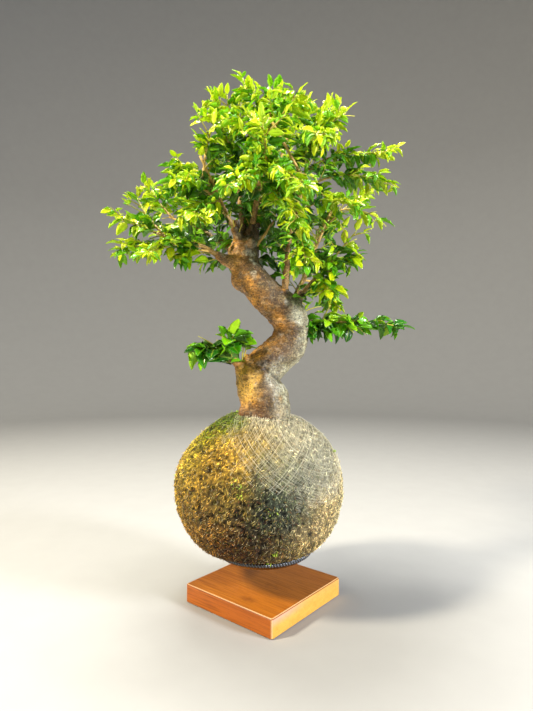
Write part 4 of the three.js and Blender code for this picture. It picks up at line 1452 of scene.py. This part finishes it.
def cut_away(made, points, faces):
    """Takes a closed form away from a piece."""
    form = Shape()
    form.add(points, faces)
    tool = form.object("moss_tool")
    modifier = made.modifiers.new("cut", "BOOLEAN")
    modifier.operation = "DIFFERENCE"
    modifier.solver = "MANIFOLD"
    modifier.object = tool
    graph = bpy.context.evaluated_depsgraph_get()
    mesh = bpy.data.meshes.new_from_object(made.evaluated_get(graph))
    made.modifiers.clear()
    made.data = mesh
    bpy.data.objects.remove(tool)


def moss_wrap():
    """The bed of the moss: a ball with a flat floor, hollow for the soil and the trunk's foot."""
    side = oval(BODY, FLOOR, 170)
    floor = [(side[0][0] * share, FLOOR) for share in np.linspace(0, 1, 14)[:-1]]
    points, faces = turned(floor + side, 330)
    facing = unit(points / BODY)
    pits = pits_at(points) * (1 - 0.8 * even(facing))
    on_floor = points + np.outer(edge_lift(points), [0, 0, 1])
    points = np.where(points[:, 2:] > FLOOR + 0.01, on_ball(points / BODY), on_floor)
    # Painted shade: the bed under the fibres is kept dark, and darker still in its pits.
    gloom = (0.16 + 0.24 * smooth(noise_at(points, 2.5, 71), -0.5, 0.5)) * (1 - 0.75 * pits)
    gloom = gloom + 0.12 * netted(unit(points / BODY))
    bed = Shape()
    bed.add(points + CENTRE, faces, tint=moss_tint(points) * gloom[:, None])
    finish = moss_material("moss_bed", 1.0)
    made = bed.object("moss_bed", [finish])
    hollow_floor = FLOOR + MOSS_THICKNESS
    points, faces = turned([(0, hollow_floor), *oval(BODY - MOSS_THICKNESS, hollow_floor, 30)], 72)
    cut_away(made, points + CENTRE, faces)
    foot = curve_through(TRUNK[:FOOT_STATIONS], 4)
    cut_away(made, *tubes([foot[:, :3]], [foot[:, 3] - 0.6], 48))
    made.data.materials.clear()
    made.data.materials.append(finish)
    settle(made, "moss_wrap")


# The share of fibres with another hue, its colour, and how far they take it.
FIBRE_HUES = [(0.10, "cfa040", 0.4), (0.07, "9a4c34", 0.6), (0.12, "efe6bc", 0.55),
              (0.15, "6a8426", 0.5), (0.16, "14100a", 0.8)]

# A fibre's four stations, as shares of its length, and its thickness at each.
FIBRE_SHARES = (0, 0.35, 0.7, 1)
FIBRE_TAPER = np.array([1, 0.95, 0.7, 0.0])
TRUNK_LEVEL = TRUNK[3]  # where the trunk leaves the moss
FAR_BELOW_Z = 150  # all that is lower on the ball is well away from the trunk


def clear_of_trunk(spots):
    x, y, z = (spots + CENTRE).T
    trunk_x, trunk_y, _, radius = TRUNK_LEVEL
    return (z < FAR_BELOW_Z) | (np.hypot(x - trunk_x, y - trunk_y) > radius - 0.5)


def fibre_ways(rng, count, tufts):
    """Where fibres stand, as directions from the ball's centre: all over it, or in tufts."""
    ways = unit(rng.normal(size=(count, 3)))
    if tufts is not None:
        chosen = np.array(tufts, float)[rng.integers(len(tufts), size=count)]
        ways = unit(unit(chosen) + 0.03 * rng.normal(size=(count, 3)))
    ways = ways[(ways * BODY)[:, 2] > FLOOR + 1.0]
    ways = ways[clear_of_trunk(ways * BODY)]
    if tufts is None:
        deep = smooth(pits_at(ways * BODY), 0.6, 1) * (1 - even(ways))
        bare = np.maximum(0.4 * netted(ways), 0.85 * deep)
        ways = ways[rng.uniform(size=len(ways)) > bare]
    return ways


def fibre_paths(rng, ways, reach, lift, upright):
    """Curly lines that lie on the ball, or stand up from it by a share."""
    count = len(ways)
    level = unit(np.cross([0, 0, 1.0], ways) + 1e-6)
    rise = np.cross(ways, level)
    slant = 1.0 + 0.5 * noise_at(ways * RADIUS, 34, 45) + rng.normal(size=count) * 0.42
    crossed = rng.uniform(size=count) < 0.12 + 0.4 * smooth(ways[:, 0], 0, 0.35)
    slant = np.where(crossed, -slant, slant)
    heading = level * np.cos(slant)[:, None] + rise * np.sin(slant)[:, None]
    heading *= rng.choice([-1, 1], count)[:, None]
    sway = np.cross(ways, heading)
    long = rng.uniform(*reach, count)[:, None] / RADIUS
    bend, curl = (rng.normal(size=(count, 2)) * 0.07).T
    base = on_ball(ways)
    out = unit(base / BODY)
    height = rng.uniform(*lift, count)
    paths = []
    for share, risen in zip(FIBRE_SHARES, (0.0, 0.75, 1.0, 0.55 + 0.45 * upright)):
        bent = (bend * share + curl * share ** 2)[:, None]
        spot = on_ball(ways + (heading * share + sway * bent) * long * (1 - upright))
        rising = risen + 2.2 * upright * share
        paths.append(spot + out * (height * rising - 0.4)[:, None])
    return np.stack(paths, 1), base


def fibres(name, material, count, seed, reach, lift, radius, bright=1.0, upright=0.0, tufts=None,
           colour=None):
    """Curly fibres in the moss's colour with a share of other hues, or all in one colour."""
    rng = np.random.default_rng(seed)
    ways = fibre_ways(rng, count, tufts)
    count = len(ways)
    paths, base = fibre_paths(rng, ways, reach, lift, upright)
    radii = rng.uniform(*radius, count)[:, None] * FIBRE_TAPER
    points, faces = tubes(paths, radii, 3, pointed=True)
    tint = moss_tint(base) * (0.1 + 2.2 * rng.beta(0.8, 1.1, (count, 1))) * bright
    chance = rng.uniform(size=count)
    first = 0.0
    for share, code, blend in FIBRE_HUES:
        chosen = (chance >= first) & (chance < first + share)
        tint = blended(tint, code, blend * chosen)
        first += share
    if colour:
        tint = linear(colour) * rng.uniform(0.7, 1.25, (count, 1))
    piece(name, material, "moss", points + CENTRE, faces,
          tint=np.repeat(tint, len(points) // count, 0))


NET_AXES = ((0.62, -0.30, 0.72), (-0.66, -0.22, 0.72), (0.54, -0.40, 0.74))
NET_SPACING = 0.019  # between the turns of a thread, and
NET_JITTER = 0.011  # how unevenly they lie, as shares of the ball's radius
THREAD_RADII = (0.06, 0.13)
THREAD_STEPS = 181


def binding_net():
    """Thread wound round the ball in three slanting sets of even turns."""
    rng = np.random.default_rng(5)
    turn = np.linspace(0, 2 * math.pi, THREAD_STEPS)
    finish = thread_material()
    for number, normal in enumerate(NET_AXES, 1):
        axis = unit(np.array(normal))
        side = unit(np.cross(axis, [0, 1, 0.2]))
        circle = np.cos(turn)[:, None] * side + np.sin(turn)[:, None] * np.cross(axis, side)
        offsets = np.arange(-0.97, 0.98, NET_SPACING)
        rings = []
        for offset in offsets + rng.normal(size=len(offsets)) * NET_JITTER:
            spots = on_ball(axis * offset + math.sqrt(1 - offset * offset) * circle)
            lift = -1.2 + 2.6 * netted(unit(spots / BODY)) + 1.1 * noise_at(spots, 7, 80)
            rings.append(spots * (1 + lift / RADIUS)[:, None])
        rings = np.array(rings)
        radii = np.repeat(rng.uniform(*THREAD_RADII, (len(rings), 1)), THREAD_STEPS, 1)
        points, faces = tubes(rings, radii, 3)
        piece(f"binding_net_{number}", finish, "moss", points + CENTRE, faces,
              tint=np.repeat(moss_tint(rings.reshape(-1, 3)), 3, 0))


# Where green tufts grow, as directions from the ball's centre.
TUFTS = [
    (-0.99, -0.12, 0.14), (-0.55, -0.45, 0.72), (-0.18, -0.93, 0.15), (-0.20, -0.92, 0.26),
    (0.17, -0.98, -0.02), (0.16, -0.83, -0.55), (0.08, -0.68, -0.73), (0.5, 0.8, 0.2),
    (-0.6, 0.7, 0.3), (0.8, 0.3, -0.4), (-0.3, 0.9, -0.3), (0.9, -0.1, 0.5), (-0.8, 0.2, 0.6),
]

# The layers of fibres, from the lowest and darkest to those that stand free. The lower layers
# are painted darker and the higher ones lighter, in part as painted shade deep in the moss and
# painted light on its top.
MOSS_LAYERS = {
    "moss_fibres_low": dict(count=14500, seed=11, reach=(2, 5.5), lift=(0.2, 0.9),
                            radius=(0.2, 0.38), bright=0.5),
    "moss_fibres_mid": dict(count=14000, seed=15, reach=(1.5, 4.5), lift=(0.5, 1.3),
                            radius=(0.15, 0.29), bright=1.0),
    "moss_fibres_high": dict(count=12500, seed=12, reach=(1.5, 5), lift=(0.8, 1.8),
                             radius=(0.12, 0.23), bright=1.6),
    "moss_strays": dict(count=1300, seed=13, reach=(4, 9), lift=(0.9, 2.2),
                        radius=(0.12, 0.2), bright=1.4, upright=0.3),
}


def moss_cover():
    """The bed of the moss with its thread, its fibres and its green tufts."""
    moss_wrap()
    binding_net()
    blade = moss_material("moss_fibre", 0.3)
    for name, numbers in MOSS_LAYERS.items():
        fibres(name, blade, **numbers)
    fibres("green_tufts", tuft_material(), 80, 14, (2.5, 6), (0.9, 2.0), (0.26, 0.5),
           upright=0.6, tufts=TUFTS, colour="9ccc28")


# ---------------------------------------------------------------- the dish


def dish_material():
    """Black gloss with a faint smear, and a painted highlight on the ribs' crests."""
    made = Material("dish_gloss", {"Coat Weight": 0.6, "Coat Roughness": 0.16,
                                   "Specular IOR Level": 0.5})
    smear = made.noise(3, detail=4)
    colour = made.two_tone(smear, "0b0c0e", "15161a")
    # Painted highlight: the ribs' crests are light grey all round the rim.
    colour = made.where(colour, "858d9c", made.value("rib"), 0.5, 0.95, 0.6)
    made.bump(smear, 0.02)
    return made.finish(colour, made.span(smear, 0.3, 0.7, 0.2, 0.3))


def rib_wave(turn, height):
    """The slanting ribs of the dish's rim, from 1 on a rib to 0 between two."""
    return 0.5 - 0.5 * np.cos(DISH_RIBS * turn + 1.1 * height)


def magnet_dish():
    """The dish as in the part's source, with its pocket, and with ribs on its rim."""
    foot, rim, height = DISH["foot"], DISH["rim"], DISH["height"]
    lip, edge = DISH["lip"], DISH["edge"]
    belly_radius, belly_height = foot + 0.6 * (rim - foot), 0.45 * (height - lip)
    side = curve_through([(foot - 1, 0.2, 0), (foot, 0.5, 0), (belly_radius, belly_height, 0),
                          (rim - edge - 0.4, height - lip - 0.2, 0)], 1.5)[:, :2]
    lowest, highest = height - lip + edge, height - edge
    band = [(rim - edge, height - lip), (rim - 0.25, lowest - 0.5), (rim, lowest + 0.2),
            (rim, (lowest + highest) / 2), (rim, highest - 0.2), (rim - 0.25, highest + 0.5),
            (rim - edge, height)]
    pocket, depth = DISH["pocket"], DISH["pocket_depth"]
    inner = [(rim - 6, height), (pocket + 0.4, height), (pocket, height - 0.4),
             (pocket, height - depth + 0.3), (pocket - 0.3, height - depth), (0, height - depth)]
    profile = [(0, 0), (foot - 4, 0), *side, *band, *inner]

    def ribbed(points, turn):
        radius = np.hypot(points[..., 0], points[..., 1])
        at_rim = smooth(radius, rim - 1.6, rim - 0.6)
        groove = (1 - rib_wave(turn[None, :], points[..., 2])) ** 0.7
        factor = 1 - at_rim * groove / np.maximum(radius, 1)
        points[..., :2] *= factor[..., None]
        return points
    points, faces = turned(profile, 6 * DISH_RIBS, ribbed)
    radius = np.hypot(points[:, 0], points[:, 1])
    rib = rib_wave(np.arctan2(points[:, 1], points[:, 0]), points[:, 2])
    rib = rib * smooth(radius, rim - 1.8, rim - 1) * smooth(points[:, 2], height - lip, lowest)
    points[:, 2] += DISH_FOOT_Z
    piece("glossy_dish", dish_material(), "dish_gloss", points, faces, "magnet_dish", rib=rib)


# ---------------------------------------------------------------- the pieces kept as they are


def paint(names, material):
    """Gives nodes of the CAD a material, and leaves their form as it is."""
    for name in names:
        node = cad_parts[name]
        node.data.materials.clear()
        node.data.materials.append(material)


def kept_pieces():
    """The materials of the base, of what is in it and of what the ball and the dish hold."""
    paint(["base_case"], base_wood_material())
    black = simple_material("black_plastic", "222326", "121315", 0.8, 0.5, depth=0.06)
    paint(["base_plate", "power_socket"], black)
    paint(["circuit_board"], simple_material("circuit_board", "1c6a3c", "0e3f22", 2.2, 0.35,
                                             stretch=(1, 0.2, 1), depth=0.05))
    paint([f"coil_{k}" for k in range(1, 5)],
          simple_material("copper_winding", "c9743a", "7a3716", 0.7, 0.3, 1.0,
                          stretch=(0.1, 0.1, 1), depth=0.2))
    paint(["ring_magnet", "magnet_puck"],
          simple_material("magnet_metal", "b4b6ba", "8a8c92", 1.5, 0.24, 1.0, depth=0.02))
    paint(["soil_core"], simple_material("soil", "4a3524", "1b120b", 3, 0.85, depth=1.2))


# ---------------------------------------------------------------- the studio

# The lights: where each stands, its width, its power and its colour.
LIGHTS = {
    "key": ((-1.25, -0.55, 1.2), 0.28, 52, (1.0, 0.90, 0.70)),
    "side": ((1.33, -0.74, 0.7), 0.35, 43, (0.97, 0.98, 1.0)),
    "top": ((-0.15, 0.15, 1.6), 0.5, 36, (1.0, 0.98, 0.90)),
}
LIT_PLACE = Vector((0, 0, 0.33))
SKY_COLOUR = (0.86, 0.88, 0.90)
SKY_POWER = 0.3
FLOOR_COLOURS = ((0.34, 0.338, 0.332), (0.365, 0.363, 0.357))
FLOOR_RADII = (40, 120, 300, 700, 1100, 1500, 1800)
FLOOR_DROP = 0.2  # below the part's foot, so that the two don't flicker
SWEEP = 900  # the radius of the curve between the floor and the wall
WALL_HEIGHTS = (1400, 2200, 3200)
STUDIO_SEGMENTS = 96


def area_light(name, place, width, power, colour):
    light = bpy.data.lights.new(name, "AREA")
    light.shape = "DISK"
    light.size = width
    light.energy = power
    light.color = colour
    lamp = bpy.data.objects.new(name, light)
    lamp.location = place
    lamp.rotation_euler = (LIT_PLACE - Vector(place)).to_track_quat("-Z", "Y").to_euler()
    bpy.context.scene.collection.objects.link(lamp)


def studio():
    """A round floor that sweeps up into a wall, so that every view has the same calm backdrop."""
    edge = FLOOR_RADII[-1]
    profile = np.array([(radius, 0) for radius in FLOOR_RADII]
                       + [(edge + SWEEP * math.sin(a), SWEEP - SWEEP * math.cos(a))
                          for a in np.linspace(0.08, math.pi / 2, 16)]
                       + [(edge + SWEEP, height) for height in WALL_HEIGHTS], float)
    turn = 2 * math.pi * np.arange(STUDIO_SEGMENTS) / STUDIO_SEGMENTS
    points = np.stack([profile[:, :1] * np.cos(turn), profile[:, :1] * np.sin(turn),
                       profile[:, 1:] + 0 * turn - FLOOR_DROP], -1)
    index = np.arange(len(profile) * STUDIO_SEGMENTS).reshape(len(profile), -1)
    following = np.roll(index, -1, axis=1)
    quads = np.stack([index[:-1], index[1:], following[1:], following[:-1]], -1).reshape(-1, 4)
    shape = Shape()
    shape.add(points.reshape(-1, 3), [quads, index[0][None]])
    made = Material("studio_floor", {"Roughness": 0.8, "Specular IOR Level": 0.2})
    made.finish(made.mix(made.noise(40, detail=2), *FLOOR_COLOURS))
    shape.object("studio_floor", [made.data])
    world = bpy.data.worlds.new("studio")
    world.use_nodes = True
    backdrop = world.node_tree.nodes["Background"].inputs
    backdrop["Color"].default_value = (*SKY_COLOUR, 1)
    backdrop["Strength"].default_value = SKY_POWER
    bpy.context.scene.world = world
    for name, settings in LIGHTS.items():
        area_light(name, *settings)


tree_wood()
crown()
moss_cover()
magnet_dish()
kept_pieces()
studio()
